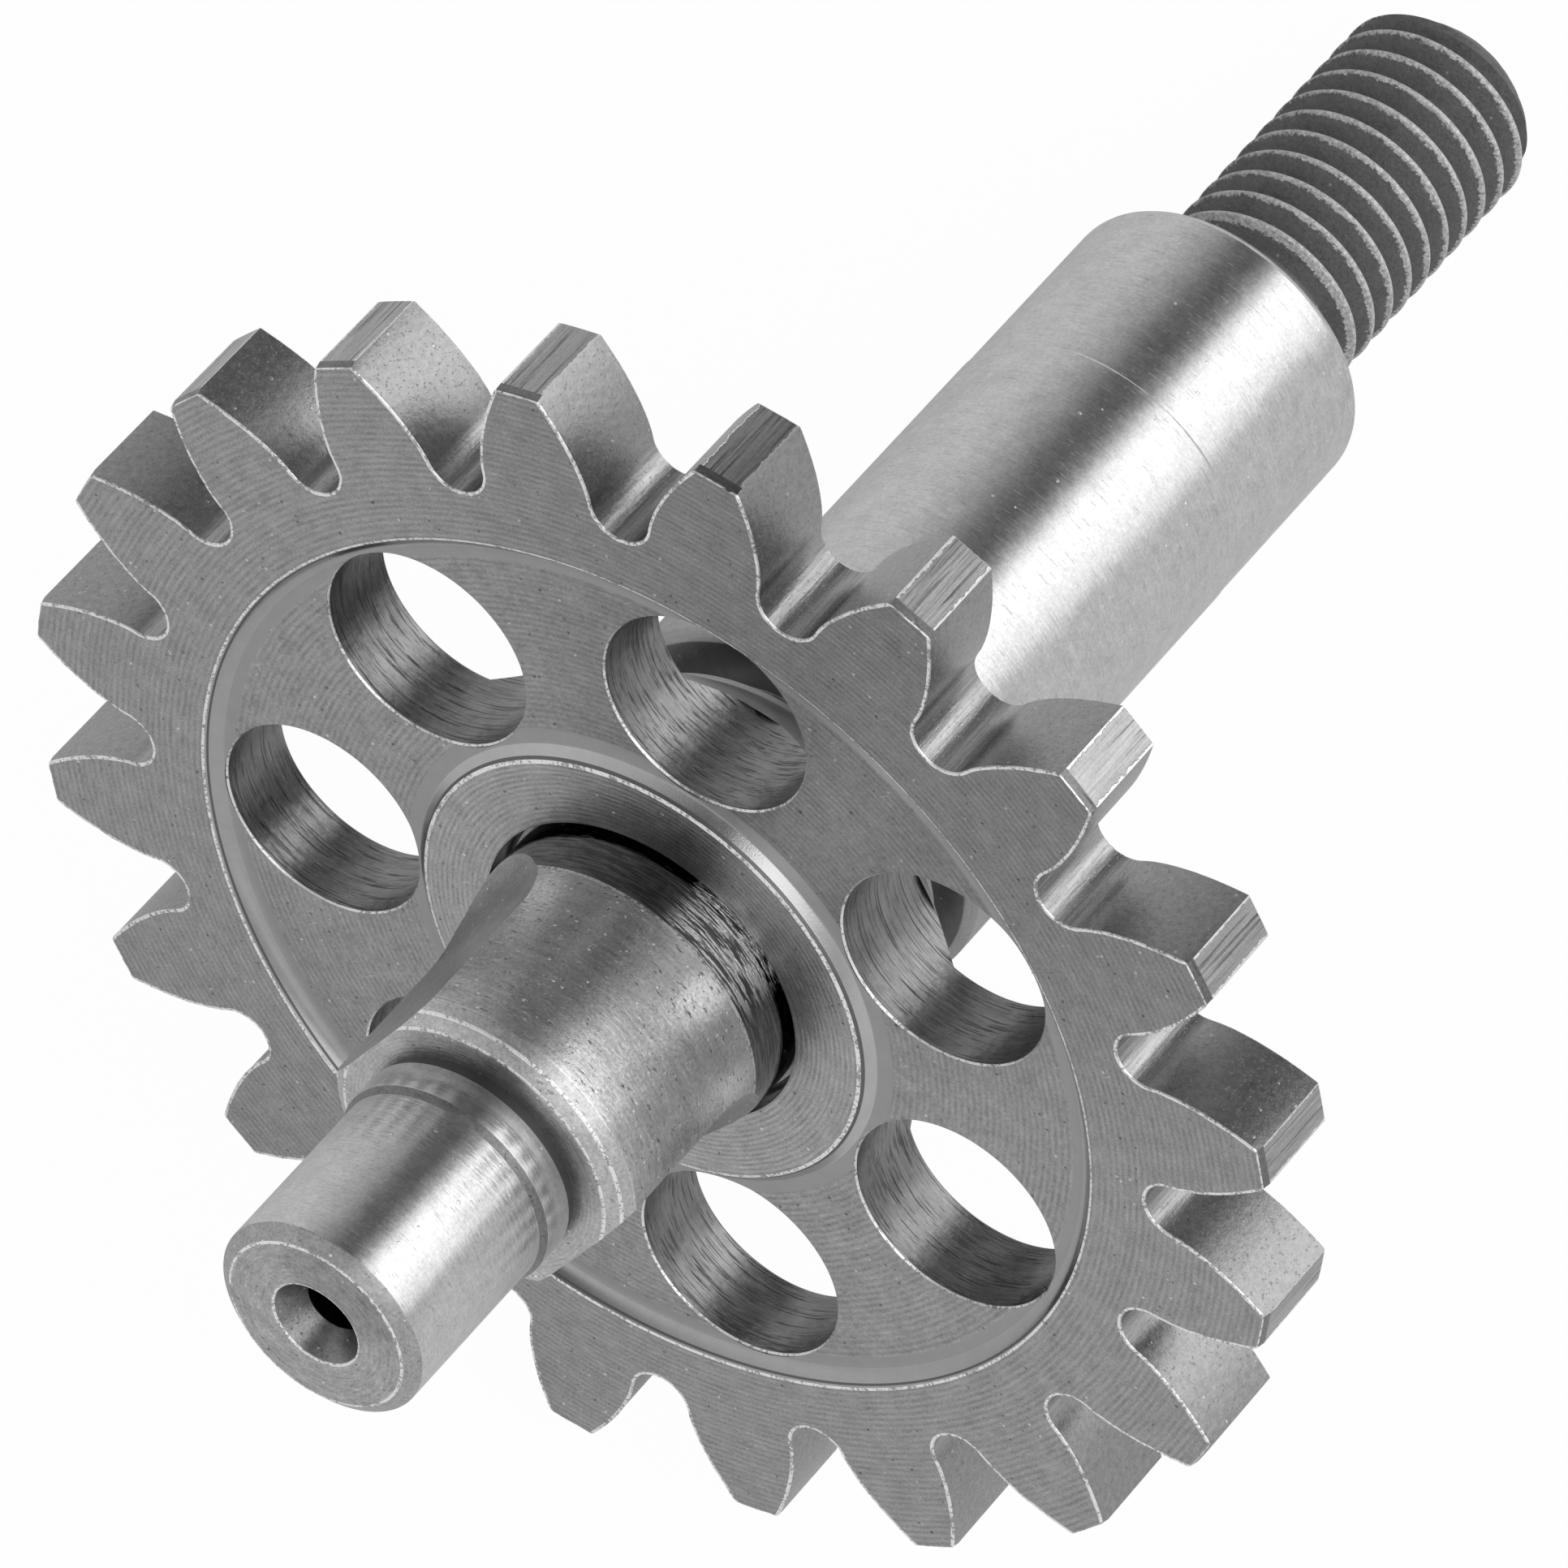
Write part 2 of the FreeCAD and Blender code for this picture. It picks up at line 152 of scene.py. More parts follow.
class Bench:
    """Builds one node tree."""

    def __init__(self, tree: NodeTree) -> None:
        """Start from an empty tree.

        Args:
            tree: The tree of a material or of the world.
        """
        self.tree = tree
        tree.nodes.clear()

    def node(
        self,
        kind: str,
        settings: Optional[dict] = None,
        inputs: Optional[dict] = None,
        output: Union[int, str] = 0,
    ) -> Value:
        """Add any node.

        Args:
            kind: Type of the node.
            settings: Properties to set first; stops holds a ramp's stops.
            inputs: Value or link for each socket, by name or number.
            output: Which output is wanted.

        Returns:
            The wanted output, wrapped.
        """
        made = self.tree.nodes.new(kind)
        for name, value in (settings or {}).items():
            if name == "stops":
                self._set_stops(made.color_ramp, value)
            else:
                setattr(made, name, value)
        for key, value in (inputs or {}).items():
            if isinstance(value, Value):
                self.tree.links.new(value.socket, made.inputs[key])
            else:
                made.inputs[key].default_value = value
        return Value(self, made.outputs[output]) if made.outputs else Value(self, None)

    @staticmethod
    def _set_stops(ramp: ColorRamp, stops: list[tuple[float, float]]) -> None:
        """Give a ramp its stops.

        Args:
            ramp: The ramp.
            stops: Position and grey level of each stop.
        """
        while len(ramp.elements) < len(stops):
            ramp.elements.new(1.0)
        for element, (position, level) in zip(ramp.elements, stops):
            element.position = position
            element.color = (level, level, level, 1.0)

    def math(self, operation: str, *values: Operand) -> Value:
        """Math node on one to three operands."""
        return self.node(
            "ShaderNodeMath", {"operation": operation}, dict(enumerate(values))
        )

    def step(self, value: Operand, low: float, high: float) -> Value:
        """Smooth rise from 0 at low to 1 at high."""
        return self.node(
            "ShaderNodeMapRange",
            {"interpolation_type": "SMOOTHSTEP"},
            {"Value": value, "From Min": low, "From Max": high},
        )

    def clamp(self, value: Operand, low: float = 0.0, high: float = 1.0) -> Value:
        """Value kept between two limits."""
        return self.node("ShaderNodeClamp", None, {"Value": value, "Min": low, "Max": high})

    def vector(self, x: Operand, y: Operand, z: Operand) -> Value:
        """Vector from three numbers."""
        return self.node("ShaderNodeCombineXYZ", None, {0: x, 1: y, 2: z})

    def noise(self, place: Value, scale: float, detail: float = 3.0, rough: float = 0.55) -> Value:
        """Noise in space, from 0 to 1."""
        return self.node(
            "ShaderNodeTexNoise",
            {"noise_dimensions": "3D"},
            {"Vector": place, "Scale": scale, "Detail": detail, "Roughness": rough},
        )

    def specks(
        self, place: Value, scale: float, ragged: Value, edge: tuple[float, float]
    ) -> Value:
        """Scattered specks.

        Args:
            place: Coordinates.
            scale: How many there are in a unit.
            ragged: Noise that tears their outline.
            edge: Distances from the middle where a speck begins and has faded.

        Returns:
            1 on a speck and 0 between them.
        """
        cells = self.node(
            "ShaderNodeTexVoronoi",
            {"voronoi_dimensions": "3D", "feature": "F1"},
            {"Vector": place, "Scale": scale, "Randomness": 1.0},
            "Distance",
        )
        return 1.0 - self.step(cells + ragged, *edge)


@dataclass
class Place:
    """Shaft coordinates of the shaded point, in mm and radians."""

    bench: Bench
    point: Value
    x: Value
    y: Value
    z: Value
    radius: Value
    angle: Value

    @classmethod
    def on(cls, bench: Bench, axis: ShaftAxis) -> "Place":
        """Add the nodes that find the point.

        Args:
            bench: The material's bench.
            axis: The shaft's axis.

        Returns:
            The coordinates.
        """
        spot = bench.node("ShaderNodeTexCoord", output="Object")
        point = bench.node(
            "ShaderNodeMapping",
            {"vector_type": "POINT"},
            {
                "Vector": spot,
                "Location": axis.pattern_shift(),
                "Rotation": axis.pattern_turn(),
                "Scale": (1 / MM, 1 / MM, 1 / MM),
            },
        )
        parts = [bench.node("ShaderNodeSeparateXYZ", None, {0: point}, i) for i in range(3)]
        x, y, z = parts
        radius = bench.math("SQRT", x * x + y * y)
        return cls(bench, point, x, y, z, radius, bench.math("ARCTAN2", y, x))

    def ring(self, stretch: float, third: Value) -> Value:
        """Vector that follows the turn round the axis, with a third number of its own."""
        cosine, sine = (self.bench.math(kind, self.angle) for kind in ("COSINE", "SINE"))
        return self.bench.vector(cosine * stretch, sine * stretch, third)

    def around(self, stretch: float, squeeze: float) -> Value:
        """Coordinates for a cylinder's marks: long round the axis and short along it."""
        return self.ring(stretch, self.z * squeeze)

    def arcs(self, stretch: float, squeeze: float) -> Value:
        """Coordinates for a flat face's marks: long round the axis and short across it."""
        return self.ring(stretch, self.radius * squeeze + self.z)

    def streaks(self, squeeze: float, stretch: float) -> Value:
        """Coordinates for marks that run along the shaft."""
        return self.bench.vector(self.x * squeeze, self.y * squeeze, self.z * stretch)

    def facing(self, side: float) -> Value:
        """1 on the side of the axis that has this angle, falling to -1 opposite it."""
        return self.bench.math("COSINE", self.angle - side)


# ---- finishes


@dataclass(frozen=True)
class Surface:
    """What a finish gives at a point."""

    shade: Operand
    roughness: Operand
    height: Operand


@dataclass(frozen=True)
class Finish:
    """A metal finish; subclasses say how it changes over the surface."""

    name: str
    grey: float
    roughness: float
    metallic: float = 1.0

    def pattern(self, place: Place) -> Surface:
        """Plain finish with faint blotches.

        Args:
            place: Coordinates of the point.

        Returns:
            The surface there.
        """
        blotch = place.bench.noise(place.point, 1.6)
        grain = place.bench.noise(place.point, 14.0)
        return Surface(
            self.grey * (0.85 + blotch * 0.2 + grain * 0.1),
            self.roughness + (blotch - 0.5) * 0.1,
            grain * 0.004,
        )

    def material(self, axis: ShaftAxis) -> Material:
        """Make the material, or find it where it is made already.

        Args:
            axis: The shaft's axis, for the pattern's place.

        Returns:
            The material.
        """
        if self.name in _materials:
            return _materials[self.name]
        made = _materials[self.name] = bpy.data.materials.new(self.name)
        made.use_nodes = True
        bench = Bench(made.node_tree)
        surface = self.pattern(Place.on(bench, axis))
        bump = bench.node(
            "ShaderNodeBump", None, {"Strength": 1.0, "Distance": MM, "Height": surface.height}
        )
        shade = bench.clamp(surface.shade, 0.01, 0.95)
        shader = bench.node(
            "ShaderNodeBsdfPrincipled",
            None,
            {
                "Base Color": bench.node(
                    "ShaderNodeCombineColor", None, {part: shade for part in range(3)}
                ),
                "Metallic": self.metallic,
                "Roughness": bench.clamp(surface.roughness, 0.08, 0.9),
                "Normal": bump,
            },
        )
        bench.node("ShaderNodeOutputMaterial", None, {"Surface": shader})
        return made


@dataclass(frozen=True)
class FacedSteel(Finish):
    """A face turned flat, with concentric tool lines, flecks and nicks."""

    pitch: float = 0.25
    line_contrast: float = 0.26
    line_height: float = 0.003
    regular: float = 0.5
    arc: float = 22.0
    # painted shade: the side of the face at this angle round the axis is painted darker
    painted_shade_side: float = math.radians(78)

    def pattern(self, place: Place) -> Surface:
        """Concentric lines, broken by noise, and painted shade that darkens one side of the axis.

        Args:
            place: Coordinates of the point.

        Returns:
            The surface there.
        """
        bench = place.bench
        wobble = bench.noise(place.point, 0.35, 1.0)
        across = place.radius + wobble * 0.12
        wave = bench.math("SINE", across * (math.tau / self.pitch))
        fine = bench.noise(place.arcs(self.arc, 9.0), 1.0, 4.0, 0.72)
        patch = bench.noise(place.point, 0.9, 4.0, 0.65)
        line = (
            wave * (patch * 2.2 - 0.55) * self.regular
            + (fine - 0.5) * 2.6 * (1.3 - self.regular)
        )
        grain = bench.noise(place.point, 9.0, 4.0, 0.8)
        blotch = bench.noise(place.point, 1.1, 5.0, 0.7)
        nick = bench.specks(place.point, 1.15, grain * 0.09, (0.09, 0.13))
        other = bench.vector(place.x + 7.3, place.y, place.z)
        pit = bench.specks(other, 1.5, grain * 0.12, (0.12, 0.17))
        slant = bench.vector(
            place.x * 1.4 + place.y * 1.0, place.y * 9.0 - place.x * 12.0, place.z
        )
        slash = bench.step(bench.noise(slant, 1.0, 1.0), 0.7, 0.73)
        scratch = slash * bench.step(blotch, 0.52, 0.56)
        # painted shade: up to a quarter darker towards that side
        side_dimming = bench.step(place.facing(self.painted_shade_side), 0.45, 1.0)
        shade = self.grey * (1.0 - side_dimming * 0.24) * (
            0.94 + line * self.line_contrast + (grain - 0.5) * 1.25 + (blotch - 0.5) * 0.7
            + nick * 0.9 - pit * 0.45 + scratch * 0.4
        )
        return Surface(
            shade,
            self.roughness + (blotch - 0.5) * 0.16 + (grain - 0.5) * 0.12,
            line * self.line_height + grain * 0.008 + nick * 0.012 - pit * 0.012,
        )


@dataclass(frozen=True)
class GroundSteel(Finish):
    """A ground cylinder with short fine scratches round it."""

    scratch: float = 1.0
    grit: float = 1.0
    comb: float = 0.0
    # strength of the painted glints on one side of the axis
    glint: float = 0.0
    glint_side: float = math.radians(62)
    side_dimming: float = 0.2
    bright_side: float = math.radians(78)

    def pattern(self, place: Place) -> Surface:
        """Fine scratches round the axis, the ragged edges that they give to reflections, and
        painted glints on one side of the axis.

        Args:
            place: Coordinates of the point.

        Returns:
            The surface there.
        """
        bench = place.bench
        fine = bench.noise(place.around(4.0, 12.0), 1.0, 4.0, 0.7)
        jag = bench.noise(place.around(7.0, 8.0), 1.0, 3.0, 0.6)
        drift = bench.noise(place.around(3.0, 0.6), 1.0, 4.0, 0.65)
        mottle = bench.noise(place.point, 1.6, 5.0, 0.72)
        grain = bench.noise(place.point, 8.0, 4.0, 0.8)
        mark = bench.step(bench.noise(place.around(7.0, 20.0), 1.0, 2.0, 0.5), 0.66, 0.72)
        fleck = bench.specks(place.point, 1.1, grain * 0.09, (0.08, 0.12))
        tooth = bench.step(bench.noise(place.around(5.0, 11.0), 1.0, 3.0, 0.6), 0.44, 0.56)
        lit = bench.step(place.facing(self.glint_side), 0.9, 0.99)
        side_dimming = (1.0 - bench.step(place.facing(self.bright_side), 0.1, 0.75)) * self.side_dimming
        # painted highlight: bright glints painted into the colour on the glint side, between the
        # comb's teeth; the bump there is raised too
        painted_glint = lit * (1.0 - tooth) * self.glint
        shade = painted_glint + self.grey * (1.0 - tooth * self.comb) * (
            0.98 + (fine - 0.5) * 0.4 + (drift - 0.5) * 0.2 + (mottle - 0.5) * 0.55
            + (grain - 0.5) * 0.5 * self.grit - mark * 0.2 * self.scratch + fleck * 0.4
        )
        relief = jag * 0.0065 + fine * 0.002 - mark * 0.003 + fleck * 0.01
        return Surface(
            shade,
            self.roughness + side_dimming + (fine - 0.5) * 0.2 + (mottle - 0.5) * 0.16,
            relief * self.scratch + painted_glint * 0.05,
        )


@dataclass(frozen=True)
class RoughRound(Finish):
    """A rough turned cylinder with pits and bright specks."""

    pit: float = 1.0
    ring: float = 1.0
    # painted light: how much lighter one side of the axis is painted, and how much darker the other
    painted_light: float = 0.0
    painted_light_side: float = math.radians(58)

    def pattern(self, place: Place) -> Surface:
        """Broken rings, pits and specks, and painted light that makes one side of the axis lighter.

        Args:
            place: Coordinates of the point.

        Returns:
            The surface there.
        """
        bench = place.bench
        rings = bench.noise(place.around(4.5, 6.5), 1.0, 5.0, 0.75)
        grain = bench.noise(place.point, 8.0, 4.0, 0.8)
        blotch = bench.noise(place.point, 0.9, 4.0, 0.6)
        pits = bench.step(bench.noise(place.around(16.0, 9.0), 1.0, 3.0, 0.65), 0.62, 0.68)
        speck = bench.specks(place.point, 1.9, grain * 0.14, (0.15, 0.19))
        # painted light: the facing term makes one side lighter and the opposite side darker
        shade = self.grey * (
            1.02 + (rings - 0.5) * 0.7 * self.ring + (grain - 0.5) * 1.5 + (blotch - 0.5) * 0.5
            - pits * 0.5 * self.pit + speck * 1.1
            + place.facing(self.painted_light_side) * self.painted_light
        )
        return Surface(
            shade,
            self.roughness + (rings - 0.5) * 0.25,
            rings * 0.005 * self.ring + grain * 0.007 - pits * 0.01 * self.pit + speck * 0.012,
        )


@dataclass(frozen=True)
class CutWall(Finish):
    """The walls of the tooth spaces: fine pits higher up, tool streaks near the root."""

    root_from: float = 21.3
    root_to: float = 20.7

    def pattern(self, place: Place) -> Surface:
        """Mottled flank that turns to streaks along the shaft at the root.

        Args:
            place: Coordinates of the point.

        Returns:
            The surface there.
        """
        bench = place.bench
        mottle = bench.noise(place.point, 4.5, 5.0, 0.75)
        pits = bench.step(bench.noise(place.point, 8.0, 2.0), 0.63, 0.7)
        fleck = bench.specks(place.point, 1.2, mottle * 0.1, (0.1, 0.14))
        streak = bench.noise(place.streaks(9.0, 0.5), 1.0, 3.0, 0.65)
        root = 1.0 - bench.step(place.radius, self.root_to, self.root_from)
        plain = 0.9 + (mottle - 0.5) * 0.95 - pits * 0.25 + fleck * 0.6
        root_shade = 1.05 + (streak - 0.5) * 1.5
        shade = self.grey * (plain + (root_shade - plain) * root)
        return Surface(
            shade,
            self.roughness + (mottle - 0.5) * 0.15,
            mottle * 0.014 - pits * 0.006 + fleck * 0.01 + streak * root * 0.012,
        )


@dataclass(frozen=True)
class StripedLand(Finish):
    """Tooth tips: tool lines that run along the shaft, and torn metal at the corners."""

    count: int = 20
    first: float = math.radians(-81)
    radius: float = 25.1
    corner: tuple[float, float] = (0.72, 0.76)

    def pattern(self, place: Place) -> Surface:
        """Lines along the shaft, a few of them bright.

        Args:
            place: Coordinates of the point.

        Returns:
            The surface there.
        """
        bench = place.bench
        stripe = bench.noise(place.streaks(6.5, 0.25), 1.0, 4.0, 0.75)
        grain = bench.noise(place.point, 9.0, 3.0)
        groove = bench.step(bench.noise(place.streaks(8.0, 0.2), 1.0, 2.0), 0.56, 0.61)
        share = math.tau / self.count
        turn = bench.math("WRAP", place.angle - self.first, -share / 2, share / 2)
        lump = bench.noise(place.point, 4.0, 3.0, 0.7)
        from_middle = bench.math("ABSOLUTE", turn) * self.radius + (lump - 0.5) * 0.3
        torn = bench.step(from_middle, *self.corner)
        plain = self.grey * (1.02 + (stripe - 0.5) * 1.5 + (grain - 0.5) * 0.5 - groove * 0.42)
        shade = plain + (0.85 - plain) * torn
        return Surface(
            shade,
            self.roughness + (stripe - 0.5) * 0.2,
            stripe * 0.012 + grain * 0.003 + torn * 0.02,
        )


@dataclass(frozen=True)
class DrilledWall(Finish):
    """Walls of the lightening holes: rings and short torn marks round each hole."""

    circle: float = 13.425
    count: int = 7
    first: float = math.radians(-58.02)

    def pattern(self, place: Place) -> Surface:
        """Marks round the nearest hole.

        Args:
            place: Coordinates of the point.

        Returns:
            The surface there.
        """
        bench = place.bench
        share = math.tau / self.count
        folded = bench.math("PINGPONG", place.angle - (self.first - share / 2) + math.tau, share)
        local = bench.math("WRAP", place.angle - self.first, -share / 2, share / 2)
        u = place.radius * bench.math("COSINE", local) - self.circle
        v = place.radius * bench.math("SINE", local)
        turn = bench.math("ARCTAN2", v, u)
        cosine, sine = bench.math("COSINE", turn), bench.math("SINE", turn)
        hole = folded * 3.0
        round_hole = bench.vector(cosine * 1.6 + hole, sine * 1.6, place.z * 7.5)
        rings = bench.noise(round_hole, 1.0, 4.0, 0.7)
        round_hole = bench.vector(cosine * 2.2, sine * 2.2 + hole, place.z * 13.0)
        cut = bench.step(bench.noise(round_hole, 1.0, 2.0, 0.6), 0.57, 0.62)
        patch = bench.noise(place.point, 1.3, 3.0, 0.6)
        shade = self.grey * (0.95 + (rings - 0.5) * 0.9 + (patch - 0.5) * 0.7 - cut * 0.55)
        return Surface(
            shade,
            self.roughness + (rings - 0.5) * 0.25,
            rings * 0.03 + patch * 0.03 - cut * 0.012,
        )


@dataclass(frozen=True)
class BurrEdge(Finish):
    """Raised, torn metal along an edge: bright and uneven."""

    def pattern(self, place: Place) -> Surface:
        """Bright lumps along the edge.

        Args:
            place: Coordinates of the point.

        Returns:
            The surface there.
        """
        bench = place.bench
        lumps = bench.noise(place.point, 7.0, 3.0, 0.7)
        length = bench.noise(place.point, 1.1, 2.0)
        torn = bench.step(lumps * 0.8 + length * 0.4, 0.5, 0.66)
        shade = self.grey * (0.4 + torn * 0.9)
        return Surface(shade, self.roughness, lumps * 0.02)


@dataclass(frozen=True)
class ThreadSteel(Finish):
    """Dark coated thread with bare bright crests."""

    crest_radius: float = 3.9
    crest_grey: float = 0.42
    run_in: tuple[float, float] = (-40.2, -38.7)
    worn_side: float = math.radians(35)
    lit_side: float = math.radians(58)

    def pattern(self, place: Place) -> Surface:
        """Bare metal where the radius is near the crest.

        Args:
            place: Coordinates of the point.

        Returns:
            The surface there.
        """
        bench = place.bench
        grain = bench.noise(place.point, 7.0, 5.0, 0.75)
        blotch = bench.noise(place.point, 1.2, 3.0)
        bright_edge = bench.step(place.z, *self.run_in) * 0.16 + place.facing(self.worn_side) * 0.05
        edge = place.radius + (grain - 0.5) * 0.4 + (blotch - 0.5) * 0.2 + bright_edge
        bare = bench.step(edge, self.crest_radius, self.crest_radius + 0.06)
        fleck = bench.specks(place.point, 1.2, grain * 0.08, (0.09, 0.13))
        dark = self.grey * (grain * 1.5 + blotch * 0.5)
        lit = place.facing(self.lit_side) * 0.4 + 0.95
        crest = self.crest_grey * lit * (1.0 + (grain - 0.5) * 3.2)
        shade = dark + (crest - dark) * bare + fleck * 0.2
        return Surface(shade, self.roughness - bare * 0.2 + (grain - 0.5) * 0.15, grain * 0.04)


FACE = FacedSteel("faced_steel", 0.395, 0.40, line_contrast=0.31)
RING = FacedSteel(
    "ring_steel", 0.445, 0.36, pitch=0.2, line_contrast=0.4, line_height=0.004, arc=9.0
)
COVE = Finish("cove_steel", 0.52, 0.2)
RIM = Finish("rim_cove", 0.42, 0.2)
FOOT = Finish("hub_foot", 0.38, 0.38)
SHADE_LINE = Finish("shade_line", 0.17, 0.4)
CHAMFER = RoughRound("tip_chamfer", 0.2, 0.3)
WALL = CutWall("cut_wall", 0.38, 0.27)
TIP = StripedLand("tooth_tip", 0.42, 0.34)
HOLE = DrilledWall("drilled_wall", 0.28, 0.28)
# raised torn metal; on the shaft's rounds it also stands for a painted highlight along the edge
BURR = BurrEdge("burr_edge", 0.95, 0.42)
CONE = Finish("rear_hub", 0.36, 0.36)
GROUND = GroundSteel("ground_steel", 0.64, 0.2, grit=1.6)
DRIVE = RoughRound("drive_steel", 0.63, 0.22, pit=1.7, ring=1.3, painted_light=0.2)
# painted shade: a low grey stands in for the shade and dark reflections inside the gear's hub
BAND = GroundSteel(
    "band_painted_shade", 0.26, 0.13, scratch=1.2, grit=1.5, comb=0.45, glint=0.8, side_dimming=0.0
)
NECK = GroundSteel("neck_steel", 0.6, 0.18, scratch=0.7)
DARK_RING = FacedSteel("dark_ring", 0.58, 0.4, pitch=0.15, regular=0.4, arc=5.0)
SHOULDER = RoughRound("shoulder_steel", 0.54, 0.36, pit=0.6)
END_FACE = FacedSteel(
    "end_face", 0.48, 0.4, pitch=0.13, line_contrast=0.42, line_height=0.006, regular=0.1, arc=4.0
)
END_EDGE = RoughRound("end_edge", 0.42, 0.4, pit=0.8)
BEVEL = RoughRound("dark_bevel", 0.22, 0.4, pit=0.8)
CENTRE = RoughRound("centre_cone", 0.27, 0.34, pit=0.9)
# painted shade: the pilot hole is painted almost black for the shade deep in it
PILOT_SHADE = RoughRound("pilot_painted_shade", 0.04, 0.34, ring=1.6)
FLAT = RoughRound("milled_flat", 0.45, 0.38, pit=0.6)
COLLAR = GroundSteel("collar_steel", 0.42, 0.3)
THREAD = ThreadSteel("coated_thread", 0.165, 0.6, 0.4)
# dark coating of the thread's neck and end; on the front relief groove the same dark grey is
# painted shade
COATING_AND_GROOVE_SHADE = Finish("coating_and_groove_shade", 0.13, 0.5)


# ---- mesh helpers


class Side(enum.Enum):
    """Which way a flat face looks along the shaft."""

    FRONT = 1.0
    REAR = -1.0


def reach(spot: Vector) -> float:
    """Distance from the shaft's axis."""
    return math.hypot(spot.x, spot.y)


def polar(distance: float, angle: float) -> Vector:
    """Point at a distance and an angle round the axis."""
    return Vector((distance * math.cos(angle), distance * math.sin(angle), 0.0))


def involute(lean: float) -> float:
    """Angle at the axis that belongs to an involute's pressure angle."""
    return math.tan(lean) - lean


def everything(work: BMesh) -> list:
    """All the geometry of a bmesh."""
    return work.verts[:] + work.edges[:] + work.faces[:]


def only(kind: type, geom: Iterable) -> list:
    """The elements of one kind among what an operator made."""
    return [item for item in geom if isinstance(item, kind)]


def pull_in(vert: BMVert, limit: float) -> None:
    """Move a vertex towards the axis until it is no further out than the limit.

    Args:
        vert: The vertex.
        limit: Largest distance from the axis.
    """
    distance = reach(vert.co)
    if distance > limit:
        vert.co.x *= limit / distance
        vert.co.y *= limit / distance


def wire(work: BMesh, points: Iterable[Vector]) -> list:
    """Add an open chain of edges through points and return its vertices and edges."""
    verts = [work.verts.new(point) for point in points]
    return verts + [work.edges.new(pair) for pair in zip(verts, verts[1:])]


def spin(
    work: BMesh, geom: list, steps: int, angle: float = math.tau, **more: object
) -> None:
    """Spin or repeat geometry round the axis, by a whole turn if nothing else is said."""
    bmesh.ops.spin(
        work, geom=geom, axis=(0, 0, 1), cent=(0, 0, 0), angle=angle, steps=steps, **more
    )


def turn_about(work: BMesh, angle: float) -> None:
    """Turn a whole bmesh about the axis."""
    turn = Matrix.Rotation(angle, 3, "Z")
    bmesh.ops.rotate(work, cent=(0, 0, 0), verts=work.verts, matrix=turn)


def lathe(outline: Iterable[tuple[float, float]], steps: int, weld: float) -> BMesh:
    """Spin an open outline once round the axis.

    Args:
        outline: Radius and station of each point.
        steps: Steps round the axis.
        weld: Distance under which the ends of the turn are joined.

    Returns:
        A new bmesh.
    """
    work = bmesh.new()
    spin(work, wire(work, [Vector((radius, 0.0, z)) for radius, z in outline]), steps)
    bmesh.ops.remove_doubles(work, verts=work.verts, dist=weld)
    return work


def join(work: BMesh, other: BMesh) -> None:
    """Add another bmesh to this one and free the other.

    Args:
        work: Receives the geometry.
        other: Is freed.
    """
    data = bpy.data.meshes.new("joined")
    other.to_mesh(data)
    other.free()
    work.from_mesh(data)
    bpy.data.meshes.remove(data)


def open_edges(work: BMesh, height: float) -> list:
    """Edges at a station that have one face only."""
    return [
        edge for edge in work.edges
        if len(edge.link_faces) == 1 and all(abs(v.co.z - height) < NEAR for v in edge.verts)
    ]


def loop_face(work: BMesh, edges: list, side: Side) -> BMFace:
    """Fill one closed loop of edges.

    Args:
        work: The bmesh.
        edges: The loop.
        side: Which way the face is to look.

    Returns:
        The new face.
    """
    made = bmesh.ops.edgeloop_fill(work, edges=edges)["faces"][0]
    made.normal_update()
    if made.normal.z * side.value < 0:
        made.normal_flip()
    return made


def mark_sharp(work: BMesh) -> None:
    """Smooth every face and keep the sharp edges.

    Args:
        work: The bmesh.
    """
    for face in work.faces:
        face.smooth = True
    for edge in work.edges:
        edge.smooth = len(edge.link_faces) == 2 and edge.calc_face_angle(0.0) < SHARP_ANGLE


def cut_away(piece: Object, cutter: Object) -> None:
    """Take a cutter's volume off a piece.

    Args:
        piece: Is cut.
        cutter: Is deleted.
    """
    step = piece.modifiers.new("cut", "BOOLEAN")
    step.operation = "DIFFERENCE"
    step.solver = "EXACT"
    step.use_self = True
    step.object = cutter
    graph = bpy.context.evaluated_depsgraph_get()
    cut = bpy.data.meshes.new_from_object(piece.evaluated_get(graph))
    piece.modifiers.clear()
    old = piece.data
    piece.data = cut
    bpy.data.meshes.remove(old)
    bpy.data.meshes.remove(cutter.data)


@dataclass(frozen=True)
class Corner:
    """A corner of a turned outline, in mm.

    The finish is that of the stretch after it; the second finish, where given, is that of the
    round, which is bright: a burr with a painted highlight along the edge.
    """

    radius: float
    station: float
    round: float
    finish: Finish
    bright_edge: Optional[Finish] = None

    @property
    def spot(self) -> Vector:
        """The corner in the plane that is spun."""
        return Vector((self.radius, 0.0, self.station))

    def rounded(self, before: "Corner", after: "Corner") -> list[tuple[Vector, Finish]]:
        """Work out the corner's small round.

        Args:
            before: The corner before.
            after: The corner after.

        Returns:
            Points, each with the finish of the stretch after it.
        """
        to_last, to_next = before.spot - self.spot, after.spot - self.spot
        length = min(self.round, to_last.length * 0.45, to_next.length * 0.45)
        steps = 6 if self.round > 0.3 else 3
        start = self.spot + to_last.normalized() * length
        end = self.spot + to_next.normalized() * length
        made = []
        for step in range(steps + 1):
            t = step / steps
            point = start * (1 - t) ** 2 + self.spot * 2 * t * (1 - t) + end * t ** 2
            made.append((point, self.bright_edge or (self.finish if t >= 0.5 else before.finish)))
        made[-1] = (end, self.finish)
        return made


